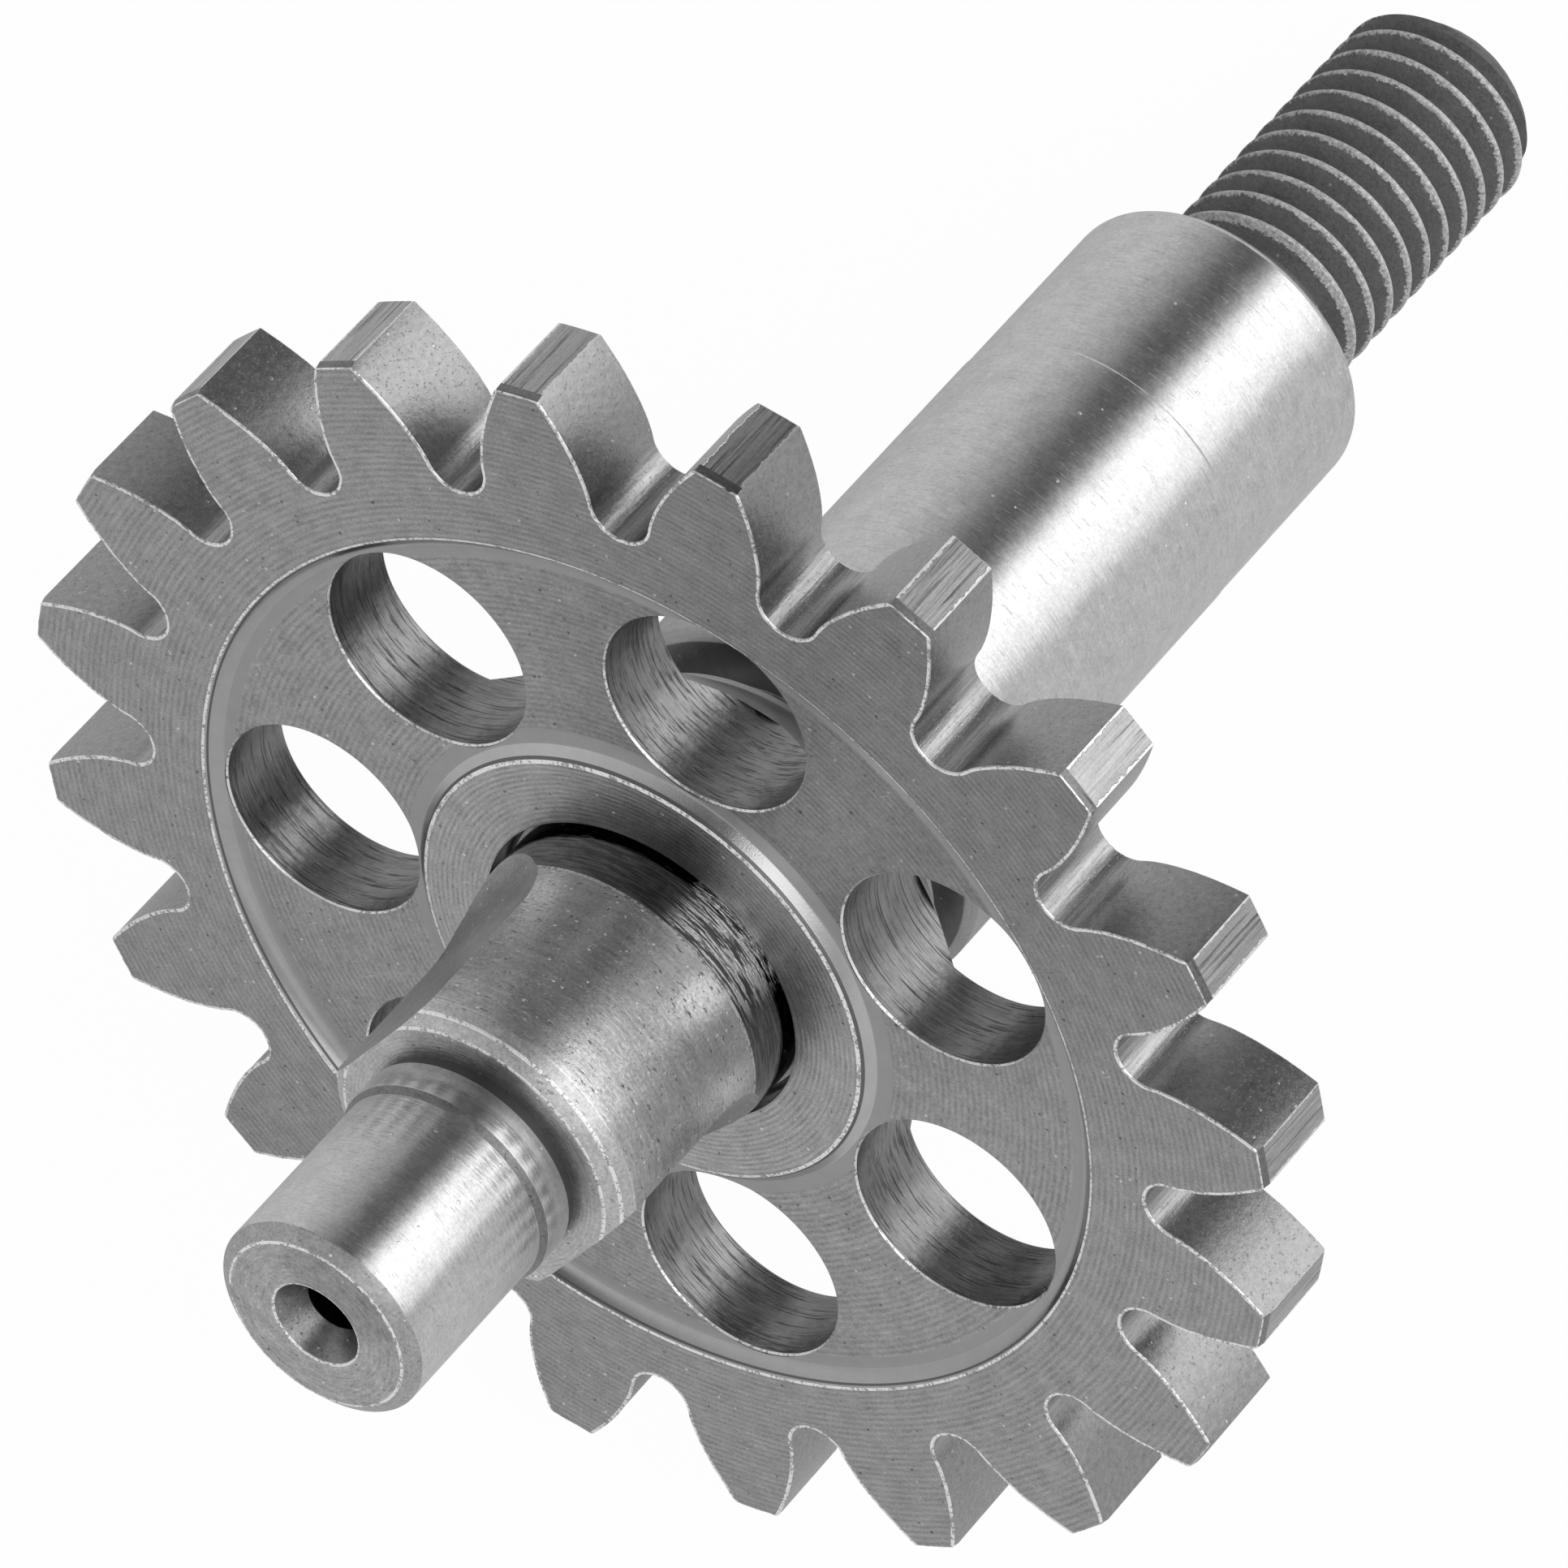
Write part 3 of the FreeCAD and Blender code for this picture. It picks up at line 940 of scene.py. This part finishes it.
@dataclass
class Piece:
    """A piece built in shaft millimetres, then dressed and put in its place."""

    axis: ShaftAxis
    finishes: tuple[Finish, ...] = ()

    def slot(self, finish: Finish) -> int:
        """Material number of a finish."""
        return self.finishes.index(finish)

    def turned(self, work: BMesh, corners: list[Corner], segments: int) -> None:
        """Spin an outline and give each stretch its finish.

        Args:
            work: Receives the faces.
            corners: The outline.
            segments: Steps round the axis.
        """
        points: list[tuple[Vector, Finish]] = []
        for index, corner in enumerate(corners):
            if corner.round and 0 < index < len(corners) - 1:
                points += corner.rounded(corners[index - 1], corners[index + 1])
            else:
                points.append((corner.spot, corner.finish))
        stretches = KDTree(len(points))
        for index, ((first, _), (second, _)) in enumerate(zip(points, points[1:])):
            stretches.insert((first + second) / 2, index)
        stretches.balance()
        surface = lathe([(spot.x, spot.z) for spot, _ in points], segments, SEAM)
        for face in surface.faces:
            ends = max(
                ([Vector((reach(vert.co), 0.0, vert.co.z)) for vert in edge.verts]
                 for edge in face.edges),
                key=lambda pair: abs(pair[0].z - pair[1].z) + abs(pair[0].x - pair[1].x),
            )
            _, index, _ = stretches.find((ends[0] + ends[1]) / 2)
            face.material_index = self.slot(points[index][1])
        join(work, surface)

    def dressed(self, name: str, work: BMesh) -> Object:
        """Make an object from a bmesh, with the piece's materials.

        Args:
            name: Name of the object.
            work: The bmesh, which is freed.

        Returns:
            The new object, at the origin and unturned.
        """
        bmesh.ops.recalc_face_normals(work, faces=work.faces)
        data = bpy.data.meshes.new(name)
        work.to_mesh(data)
        work.free()
        made = bpy.data.objects.new(name, data)
        bpy.context.collection.objects.link(made)
        for finish in self.finishes:
            data.materials.append(finish.material(self.axis))
        return made

    def finished(self, name: str, work: BMesh, cutter: Object) -> Object:
        """Cut a piece, weld it, set its shading and put it in its place.

        Args:
            name: Name of the piece.
            work: Its bmesh in shaft millimetres.
            cutter: What is cut away.

        Returns:
            The finished piece.
        """
        piece = self.dressed(name, work)
        cut_away(piece, cutter)
        work = bmesh.new()
        work.from_mesh(piece.data)
        bmesh.ops.remove_doubles(work, verts=work.verts, dist=WELD)
        bmesh.ops.dissolve_degenerate(work, edges=work.edges, dist=WELD)
        bmesh.ops.recalc_face_normals(work, faces=work.faces)
        mark_sharp(work)
        bmesh.ops.transform(work, matrix=self.axis.to_world(), verts=work.verts)
        work.to_mesh(piece.data)
        work.free()
        return piece


# ---- the gear


@dataclass
class DriveGear(Piece):
    """Spur gear with a recessed web, a conical rear hub and lightening holes. Sizes in mm."""

    tooth_count: int = 20
    module: float = 2.25
    pressure_angle: float = math.radians(20)
    tooth_thickness: float = 4.02
    tip_radius: float = 25.1
    root_round_depth: float = 1.18
    tip_chamfer_depth: float = 0.1
    tip_chamfer_width: float = 0.35
    face_width: float = 3.8
    edge_bevel: float = 0.05
    recess_radius: float = 18.0
    recess_depth: float = 0.5
    cove_radius: float = 0.9
    bore_radius: float = 6.25
    hub_radius: float = 8.85
    hub_wall: tuple[float, float] = (9.10, 0.32)
    hub_foot_radius: float = 9.78
    bore_length: float = 7.75
    rear_nose_radius: float = 6.85
    rear_flare: float = 3.65
    rear_nose_length: float = 0.25
    hole_count: int = 7
    hole_radius: float = 4.0
    hole_flare: tuple[float, float] = (0.06, 0.05)
    hole_circle: float = 13.425
    hole_first: float = math.radians(-58.02)
    space_first: float = math.radians(-90)
    rim_burr: float = 0.1
    burr_lift: float = 0.022
    segments: int = 320
    hole_segments: int = 112
    root_steps: int = 14
    tip_steps: int = 12
    cove_steps: int = 11
    spacing: float = 0.16
    finishes: tuple[Finish, ...] = (
        FACE, RING, COVE, WALL, TIP, HOLE, BURR, CONE, SHADE_LINE, FOOT, CHAMFER, RIM,
    )

    def one_pitch(self) -> list[Vector]:
        """Work out the outline of one pitch.

        Returns:
            Points from the bottom of a tooth space to the bottom of the next.
        """
        pitch = self.module * self.tooth_count / 2
        base = pitch * math.cos(self.pressure_angle)
        share = math.tau / self.tooth_count
        half_tooth = self.tooth_thickness / 2 / pitch
        opening = share / 2 - half_tooth - involute(self.pressure_angle)
        centre = pitch - self.root_round_depth
        lean = math.acos(base / centre)
        bend = base * (involute(lean) + opening)
        start = base * math.hypot(1, lean - opening)

        def flank(distance: float) -> Vector:
            """Point of the flank at a distance from the axis."""
            return polar(distance, opening + involute(math.acos(base / distance)))

        meet = flank(start)
        sweep = math.pi - math.atan2(meet.y, meet.x - centre)
        half = []
        for step in range(self.root_steps):
            turn = sweep * step / self.root_steps
            half.append(Vector((centre - bend * math.cos(turn), bend * math.sin(turn), 0.0)))
        height = self.tip_radius - start
        steps = round(height / self.spacing)
        half += [flank(start + height * step / steps) for step in range(steps + 1)]
        corner = math.atan2(half[-1].y, half[-1].x)
        tip = [
            polar(self.tip_radius, corner + (share - 2 * corner) * step / self.tip_steps)
            for step in range(1, self.tip_steps)
        ]
        mirror = [polar(p.length, share - math.atan2(p.y, p.x)) for p in reversed(half)]
        return half + tip + mirror

    def toothed_loop(self, work: BMesh) -> list:
        """Add the whole toothed outline just behind the front face.

        Args:
            work: Receives the outline.

        Returns:
            Its edges.
        """
        turn = Matrix.Rotation(self.space_first, 3, "Z")
        lift = Vector((0.0, 0.0, -self.edge_bevel))
        chain = wire(work, [turn @ point + lift for point in self.one_pitch()])
        share = math.tau / self.tooth_count
        spin(work, chain, self.tooth_count - 1, math.tau - share, use_duplicate=True)
        bmesh.ops.remove_doubles(work, verts=work.verts, dist=WELD)
        return work.edges[:]

    def strips(
        self, work: BMesh, edges: list, side: Side,
        steps: Iterable[tuple[float, float, Finish]],
    ) -> list:
        """Inset a toothed loop in strips and leave it open.

        Args:
            work: The bmesh.
            edges: The loop's edges.
            side: The gear's front or rear.
            steps: Width, rise and finish of each strip.

        Returns:
            Edges of the innermost loop.
        """
        face = loop_face(work, edges, side)
        for width, rise, finish in steps:
            made = bmesh.ops.inset_region(
                work, faces=[face], thickness=width, depth=rise, use_even_offset=True,
                use_boundary=True,
            )["faces"]
            for strip in made:
                strip.material_index = self.slot(finish)
        inner = list(face.edges)
        bmesh.ops.delete(work, geom=[face], context="FACES_ONLY")
        return inner

    def walls(self, work: BMesh, outline: list) -> list:
        """Extrude the toothed outline to the rear face, with the tips' chamfer at the front.

        Args:
            work: The bmesh.
            outline: Edges of the outline at the front.

        Returns:
            Edges of the outline at the rear.
        """
        chamfer_rear = -self.tip_chamfer_width
        for station in (chamfer_rear, self.edge_bevel - self.face_width):
            land = CHAMFER if station == chamfer_rear else TIP
            made = bmesh.ops.extrude_edge_only(work, edges=outline)["geom"]
            for vert in only(BMVert, made):
                vert.co.z = station
            for face in only(BMFace, made):
                inmost = min(reach(vert.co) for vert in face.verts)
                tip = inmost > self.tip_radius - self.tip_chamfer_depth - 0.01
                face.material_index = self.slot(land if tip else WALL)
            outline = [
                edge for edge in only(BMEdge, made)
                if all(abs(vert.co.z - station) < NEAR for vert in edge.verts)
            ]
        return outline

    def clamp_tips(self, work: BMesh) -> None:
        """Bring the tips in to the front chamfer.

        Args:
            work: The bmesh.
        """
        for vert in work.verts:
            depth = min(1.0, max(0.0, -vert.co.z / self.tip_chamfer_width))
            pull_in(vert, self.tip_radius - self.tip_chamfer_depth * (1 - depth))

    def fill_ring(self, work: BMesh, outer: list, radius: float, side: Side) -> None:
        """Fill the flat ring between the toothed outline and a circle.

        Args:
            work: The bmesh.
            outer: Edges of the outline.
            radius: The circle's radius.
            side: The gear's front or rear.
        """
        height = 0.0 if side is Side.FRONT else -self.face_width
        inner = [
            edge for edge in open_edges(work, height)
            if all(abs(reach(vert.co) - radius) < 1e-3 for vert in edge.verts)
        ]
        made = bmesh.ops.triangle_fill(
            work, edges=outer + inner, use_beauty=True, use_dissolve=False,
            normal=(0, 0, side.value),
        )["geom"]
        for face in only(BMFace, made):
            face.material_index = self.slot(FACE)
            if face.normal.z * side.value < 0:
                face.normal_flip()

    def web(self, work: BMesh) -> None:
        """Turn the recess, the hub, the bore and the rear hub.

        Args:
            work: Receives the faces.
        """
        floor, cove = -self.recess_depth, self.cove_radius
        inner = self.recess_radius - math.sqrt(cove ** 2 - (cove - self.recess_depth) ** 2)
        top = math.acos((cove - self.recess_depth) / cove)
        corners = [
            Corner(self.recess_radius + self.rim_burr, 0.0, 0, BURR),
            Corner(self.recess_radius, -0.03, 0, RIM),
        ]
        for step in range(1, self.cove_steps + 1):
            bend = top * (1 - step / self.cove_steps)
            corners.append(Corner(
                inner + cove * math.sin(bend), floor + cove * (1 - math.cos(bend)), 0,
                SHADE_LINE if step == 1 else FOOT if step > 7 else RIM,
            ))
        corners += [
            Corner(inner - 0.15, floor, 0, FACE),
            Corner(self.hub_foot_radius + 0.1, floor, 0, FOOT),
            Corner(self.hub_foot_radius, floor, 0.08, FOOT),
            Corner(self.hub_foot_radius - 0.48, floor + 0.06, 0.06, COVE),
            Corner(self.hub_wall[0] - 0.12, -self.hub_wall[1] + 0.16, 0.04, SHADE_LINE),
            Corner(self.hub_radius + 0.03, -0.05, 0, BURR),
            Corner(self.hub_radius - 0.11, 0.0, 0, RING),
            Corner(self.bore_radius, 0.0, 0.05, COVE),
            Corner(self.bore_radius, -self.bore_length, 0.05, CONE),
            Corner(self.rear_nose_radius, -self.bore_length, 0.08, CONE),
            Corner(self.rear_nose_radius, self.rear_nose_length - self.bore_length, 0, CONE),
            Corner(self.rear_nose_radius + self.rear_flare, -self.face_width, 0, FACE),
        ]
        self.turned(work, corners, self.segments)

    def hole_cutter(self) -> Object:
        """Make the drills of the lightening holes, with a slight flare at each end.

        Returns:
            The cutter.
        """
        radius, floor, back = self.hole_radius, -self.recess_depth, -self.face_width
        front, rear = (radius + flare for flare in self.hole_flare)
        edge = (floor - 0.08, floor - 0.01)
        outline = (
            (front, 1.0), (front, edge[1]), (radius, edge[0]), (radius, back + 0.07),
            (rear, back), (rear, back - 1),
        )
        work = lathe(outline, self.hole_segments, WELD)
        bmesh.ops.holes_fill(work, edges=[e for e in work.edges if len(e.link_faces) == 1])
        for face in work.faces:
            torn = edge[0] < face.calc_center_median().z < edge[1]
            face.material_index = self.slot(BURR if torn else HOLE)
        bmesh.ops.translate(work, vec=(self.hole_circle, 0.0, 0.0), verts=work.verts)
        turn_about(work, self.hole_first)
        copies = self.hole_count - 1
        turn = math.tau * copies / self.hole_count
        spin(work, everything(work), copies, turn, use_duplicate=True)
        return self.dressed("hole_cutter", work)

    def build(self) -> Object:
        """Build the gear.

        Returns:
            The finished piece.
        """
        work = bmesh.new()
        outline = self.toothed_loop(work)
        burrs = ((0.02, self.edge_bevel, BURR), (0.1, 0.0, BURR), (0.05, 0.0, FACE))
        inner = self.strips(work, outline, Side.FRONT, burrs)
        keep = {vert for edge in inner for vert in edge.verts}
        for vert in work.verts:
            if abs(vert.co.z) < 1e-5 and vert not in keep:
                lump = noise.noise(vert.co * 2.2) + 0.6 * noise.noise(vert.co * 6.0)
                vert.co.z += self.burr_lift * lump
        rear_strips = ((0.04, self.edge_bevel, BURR), (0.05, 0.0, FACE))
        back = self.strips(work, self.walls(work, outline), Side.REAR, rear_strips)
        self.clamp_tips(work)
        self.web(work)
        self.fill_ring(work, inner, self.recess_radius + self.rim_burr, Side.FRONT)
        self.fill_ring(work, back, self.rear_nose_radius + self.rear_flare, Side.REAR)
        bmesh.ops.remove_doubles(work, verts=work.verts, dist=WELD)
        LOG.info("gear: %d open edges", sum(len(e.link_faces) != 2 for e in work.edges))
        return self.finished("spur_gear", work, self.hole_cutter())


# ---- the shaft


@dataclass
class PumpShaft(Piece):
    """Turned shaft with ground journals, two milled flats and a threaded end. Sizes in mm."""

    front_end: float = 19.3
    mouth_radius: float = 1.7
    pilot_radius: float = 1.05
    pilot_front: float = 18.17
    journal_radius: float = 4.0
    journal_rear: float = 12.0
    neck_radius: float = 4.17
    relief_front: float = 10.48
    relief_radius: float = 4.05
    shoulder: float = 10.04
    shoulder_rim: float = 10.05
    drive_radius: float = 6.0
    flat_half: float = 4.9
    flat_reach: float = 4.0
    flat_cutter: float = 5.0
    flat_turn: float = math.radians(161.5)
    flat_steps: int = 24
    cut_half_width: float = 9.0
    band_front: float = 2.0
    band_radius: float = 5.96
    seat_front: float = -1.2
    seat_radius: float = 6.25
    hub_rear: float = -7.75
    groove_radius: float = 5.5
    collar_front: float = -8.95
    collar_radius: float = 7.6
    collar_bevel_radius: float = 7.25
    collar_rear: float = -12.75
    barrel_radius: float = 6.0
    land_front: float = -28.15
    land_radius: float = 5.97
    land_rear: float = -36.55
    thread_neck_radius: float = 3.2
    thread_neck_rear: float = -39.5
    segments: int = 256
    finishes: tuple[Finish, ...] = (
        GROUND, DRIVE, BAND, NECK, DARK_RING, SHOULDER, END_FACE, END_EDGE, CENTRE, FLAT,
        COLLAR, COATING_AND_GROOVE_SHADE, PILOT_SHADE, BURR, BEVEL,
    )

    def corners(self) -> list[Corner]:
        """List the turned outline.

        Returns:
            Its corners, from the front centre hole to the thread.
        """
        return [
            # painted shade: the pilot hole's faces are nearly black
            Corner(0.0, 15.479, 0, PILOT_SHADE),
            Corner(self.pilot_radius, 15.941, 0, PILOT_SHADE),
            Corner(self.pilot_radius, self.pilot_front, 0.04, CENTRE),
            # the BURR rounds at the mouth, the end edge and the shoulder rim are burrs with a
            # painted highlight along the edge
            Corner(self.mouth_radius, self.front_end, 0.06, END_FACE, BURR),
            Corner(3.45, self.front_end, 0.06, END_EDGE, BURR),
            Corner(self.journal_radius, 18.9, 0.06, GROUND),
            Corner(self.journal_radius, self.journal_rear, 0, BEVEL),
            Corner(self.neck_radius, 11.75, 0.03, NECK),
            # painted shade: the relief groove takes the dark coated finish
            Corner(self.neck_radius, self.relief_front, 0.08, COATING_AND_GROOVE_SHADE),
            Corner(self.relief_radius, self.relief_front, 0, COATING_AND_GROOVE_SHADE),
            Corner(self.relief_radius, self.shoulder, 0, DARK_RING),
            Corner(4.3, self.shoulder, 0, DARK_RING),
            Corner(4.9, self.shoulder_rim - 0.02, 0.05, SHOULDER),
            Corner(5.25, self.shoulder_rim, 0.07, SHOULDER, BURR),
            Corner(5.75, 9.7, 0.07, SHOULDER, BURR),
            Corner(self.drive_radius, 9.3, 0.1, DRIVE),
            Corner(self.drive_radius, self.band_front + 0.12, 0, BURR),
            Corner(self.drive_radius, self.band_front, 0.02, BAND),
            Corner(self.band_radius, self.band_front - 0.1, 0.03, BAND),
            Corner(self.band_radius, self.seat_front, 0, DARK_RING),
            Corner(self.seat_radius - 0.15, self.seat_front, 0, DARK_RING),
            Corner(self.seat_radius, self.seat_front - 0.15, 0, DARK_RING),
            Corner(self.seat_radius, self.hub_rear, 0, DARK_RING),
            Corner(self.groove_radius, self.hub_rear, 0.05, DARK_RING),
            Corner(self.groove_radius, self.collar_front, 0.05, COLLAR),
            Corner(self.collar_bevel_radius, self.collar_front, 0.05, COLLAR),
            Corner(self.collar_radius, -9.4, 0.05, COLLAR),
            Corner(self.collar_radius, -12.3, 0.05, COLLAR),
            Corner(self.collar_bevel_radius, self.collar_rear, 0.05, COLLAR),
            Corner(self.barrel_radius, self.collar_rear, 0.1, GROUND),
            Corner(self.barrel_radius, self.land_front, 0.03, GROUND),
            Corner(self.land_radius, self.land_front - 0.1, 0.03, GROUND),
            Corner(self.land_radius, self.land_rear, 0.6, GROUND),
            Corner(self.thread_neck_radius, self.land_rear, 0.1, COATING_AND_GROOVE_SHADE),
            Corner(self.thread_neck_radius, self.thread_neck_rear, 0, COATING_AND_GROOVE_SHADE),
            Corner(0.0, self.thread_neck_rear, 0, COATING_AND_GROOVE_SHADE),
        ]

    def flat_cutters(self) -> Object:
        """Make the two milling cuts, with the round that the cutter leaves.

        Returns:
            The cutter.
        """
        outside, ahead = self.drive_radius + 1.0, self.shoulder_rim + 1.0
        centre = self.flat_half + self.flat_cutter
        sweep = math.acos((centre - outside) / self.flat_cutter)
        points = [(self.flat_half, ahead)]
        for step in range(self.flat_steps + 1):
            angle = sweep * step / self.flat_steps
            points.append((
                centre - self.flat_cutter * math.cos(angle),
                self.flat_reach - self.flat_cutter * math.sin(angle),
            ))
        points.append((outside, ahead))
        work = bmesh.new()
        face = work.faces.new([work.verts.new((x, -self.cut_half_width, z)) for x, z in points])
        made = bmesh.ops.extrude_face_region(work, geom=[face])["geom"]
        across = (0.0, 2 * self.cut_half_width, 0.0)
        bmesh.ops.translate(work, vec=across, verts=only(BMVert, made))
        turn_about(work, self.flat_turn)
        spin(work, everything(work), 1, math.pi, use_duplicate=True)
        for item in work.faces:
            item.material_index = self.slot(FLAT)
        return self.dressed("flat_cutters", work)

    def build(self) -> Object:
        """Build the shaft without its thread.

        Returns:
            The finished piece.
        """
        work = bmesh.new()
        self.turned(work, self.corners(), self.segments)
        bmesh.ops.remove_doubles(work, verts=work.verts, dist=WELD)
        return self.finished("turned_shaft", work, self.flat_cutters())


@dataclass
class ThreadedEnd(Piece):
    """The metric thread at the end of the shaft, 8 mm by 1.25 mm. Sizes in mm."""

    radius: float = 4.0
    pitch: float = 1.25
    depth: float = 0.767
    front: float = -37.6
    front_radius: float = 3.2
    rear: float = -52.29
    rear_radius: float = 3.0
    mouth_radius: float = 1.7
    pilot_radius: float = 0.8
    slope: float = math.tan(math.radians(30))
    phase: float = 0.35
    steps: int = 120
    drill_steps: int = 96
    finishes: tuple[Finish, ...] = (THREAD, COATING_AND_GROOVE_SHADE, CENTRE)

    def tooth(self) -> list[tuple[float, float]]:
        """List the thread's profile, with a flat crest and a round root.

        Returns:
            Radius and station over one pitch, from root to root.
        """
        crest = self.pitch / 16
        foot = crest + self.depth * self.slope
        half = self.pitch / 2
        root = self.radius - self.depth
        side = [
            (self.radius, crest * 0.6), (self.radius - 0.03, crest + 0.015),
            (self.radius - 0.35, crest + 0.35 * self.slope), (root + 0.16, foot - 0.09),
            (root + 0.05, foot + 0.01), (root + 0.01, half - (half - foot) * 0.55),
            (root, half),
        ]
        return [(radius, -station) for radius, station in reversed(side)] + side

    def limit(self, station: float) -> float:
        """Find the largest radius: the run-in at the relief and the end bevel.

        Args:
            station: Station along the shaft.

        Returns:
            The radius.
        """
        ahead = self.front_radius + max(0.0, self.front - station)
        behind = self.rear_radius + max(0.0, station - self.rear)
        return min(self.radius, ahead, behind)

    def build(self) -> Object:
        """Build the threaded end.

        Returns:
            The finished piece.
        """
        work = bmesh.new()
        turns = math.ceil((self.front - self.rear) / self.pitch) + 2
        start = self.rear - self.pitch + self.phase
        chain = wire(work, [Vector((radius, 0.0, start + z)) for radius, z in self.tooth()])
        spin(work, chain, self.steps, dvec=(0.0, 0.0, self.pitch / self.steps))
        turn = everything(work)
        for count in range(1, turns):
            made = bmesh.ops.duplicate(work, geom=turn)["geom"]
            moved = only(BMVert, made)
            bmesh.ops.translate(work, vec=(0.0, 0.0, self.pitch * count), verts=moved)
        bmesh.ops.remove_doubles(work, verts=work.verts, dist=SEAM)
        for vert in work.verts:
            pull_in(vert, self.limit(vert.co.z))
        for height, side in ((self.front, Side.FRONT), (self.rear, Side.REAR)):
            bmesh.ops.bisect_plane(
                work, geom=everything(work), plane_co=(0, 0, height),
                plane_no=(0, 0, side.value), clear_outer=True,
            )
            rim = open_edges(work, height)
            bmesh.ops.edgeloop_fill(work, edges=rim, mat_nr=self.slot(COATING_AND_GROOVE_SHADE))
        return self.finished("threaded_end", work, self.centre_drill())

    def centre_drill(self) -> Object:
        """Make the cutter of the centre hole in the end.

        Returns:
            The cutter.
        """
        radius = self.pilot_radius
        throat = (self.mouth_radius - radius) / self.slope
        outline = (
            (0.0, -1.0), (self.mouth_radius + 0.577, -1.0), (radius, throat),
            (radius, throat + 1.8), (0.0, throat + 2.26),
        )
        work = lathe([(r, self.rear + up) for r, up in outline], self.drill_steps, WELD)
        for face in work.faces:
            face.material_index = self.slot(CENTRE)
        return self.dressed("centre_drill", work)


# ---- the studio


@dataclass
class Studio:
    """Pale floor, soft light in strips along the shaft, and the camera."""

    axis: ShaftAxis
    camera_offset: tuple[float, float, float] = (82.795, -96.254, 471.239)
    camera_turn: tuple[float, float, float] = (15.78447, 0.48715, 36.69929)
    lens: float = 331.48
    floor_radius: float = 3.0
    floor_grey: float = 0.8
    strips: tuple[tuple[float, float], ...] = (
        (-180, 0.76), (-120, 0.76), (-90, 0.68), (-60, 0.70), (-20, 0.80), (5, 0.55), (18, 0.55),
        (30, 1.25), (48, 1.6), (66, 1.85), (76, 1.45), (86, 0.4), (98, 0.12), (114, 0.16),
        (130, 0.42), (150, 0.62), (180, 0.76),
    )

    def camera(self) -> None:
        """Set the camera at the photograph's place."""
        data = bpy.data.cameras.new("camera")
        data.lens = self.lens
        data.sensor_width = 36.0
        data.clip_end = 10.0
        data.clip_start = 0.01
        spot = bpy.data.objects.new("camera", data)
        spot.location = self.axis.origin + Vector(self.camera_offset) * MM
        spot.rotation_euler = Euler([math.radians(turn) for turn in self.camera_turn])
        bpy.context.collection.objects.link(spot)
        bpy.context.scene.camera = spot

    def floor(self) -> None:
        """Lay the pale floor under the part."""
        work = bmesh.new()
        bmesh.ops.create_circle(work, cap_ends=True, segments=96, radius=self.floor_radius)
        data = bpy.data.meshes.new("floor")
        work.to_mesh(data)
        work.free()
        piece = bpy.data.objects.new("floor", data)
        bpy.context.collection.objects.link(piece)
        made = bpy.data.materials.new("pale_floor")
        made.use_nodes = True
        bench = Bench(made.node_tree)
        grain = bench.noise(bench.node("ShaderNodeTexCoord", output="Object"), 9.0)
        diffuse = bench.node(
            "ShaderNodeBsdfDiffuse", None, {"Color": grain * 0.02 + self.floor_grey}
        )
        glow = bench.node("ShaderNodeEmission", None, {"Color": (1, 1, 1, 1), "Strength": 1.0})
        seen = bench.node("ShaderNodeLightPath", output="Is Camera Ray")
        gloss = bench.node("ShaderNodeLightPath", output="Is Glossy Ray")
        share = bench.clamp(seen * 0.975 + gloss * 0.12)
        mixed = bench.node("ShaderNodeMixShader", None, {0: share, 1: diffuse, 2: glow})
        bench.node("ShaderNodeOutputMaterial", None, {"Surface": mixed})
        data.materials.append(made)

    def world(self) -> None:
        """Surround the part with soft strips of light that run along the shaft."""
        made = bpy.data.worlds.new("studio")
        bpy.context.scene.world = made
        made.use_nodes = True
        bench = Bench(made.node_tree)
        towards = bench.node("ShaderNodeTexCoord", output="Generated")
        turned_back = bench.node(
            "ShaderNodeMapping",
            {"vector_type": "POINT"},
            {"Vector": towards, "Rotation": self.axis.pattern_turn()},
        )
        x, y = (bench.node("ShaderNodeSeparateXYZ", None, {0: turned_back}, i) for i in (0, 1))
        turn = bench.math("ARCTAN2", y, x) / math.tau + 0.5
        stops = [((angle + 180) / 360, level / 2) for angle, level in self.strips]
        level = bench.node("ShaderNodeValToRGB", {"stops": stops}, {"Fac": turn})
        light = bench.node("ShaderNodeBackground", None, {"Color": level, "Strength": 2.0})
        plain = bench.node("ShaderNodeBackground", None, {"Color": (1, 1, 1, 1), "Strength": 1.0})
        seen = bench.node("ShaderNodeLightPath", output="Is Camera Ray")
        mixed = bench.node("ShaderNodeMixShader", None, {0: seen, 1: light, 2: plain})
        bench.node("ShaderNodeOutputWorld", None, {"Surface": mixed})

    def build(self) -> None:
        """Set up the whole studio."""
        self.camera()
        self.floor()
        self.world()
        bpy.context.scene.view_settings.view_transform = "Standard"


# ---- the whole part


def report(piece: Object, node: str) -> None:
    """Put a piece in place of a node and log it.

    Args:
        piece: The finished piece.
        node: The node it stands for.
    """
    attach(piece, "root")
    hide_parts(node)
    LOG.info("%s: %d faces for %s", piece.name, len(piece.data.polygons), node)


def main() -> None:
    """Build the shaft, its thread and the gear, then the studio."""
    logging.basicConfig(level=logging.INFO, format="%(name)s: %(message)s")
    axis = ShaftAxis.from_record(frame["record"], 15.45)
    report(PumpShaft(axis).build(), "shaft")
    report(ThreadedEnd(axis).build(), "shaft")
    report(DriveGear(axis).build(), "drive_gear")
    Studio(axis).build()


if __name__ == "__main__":
    main()
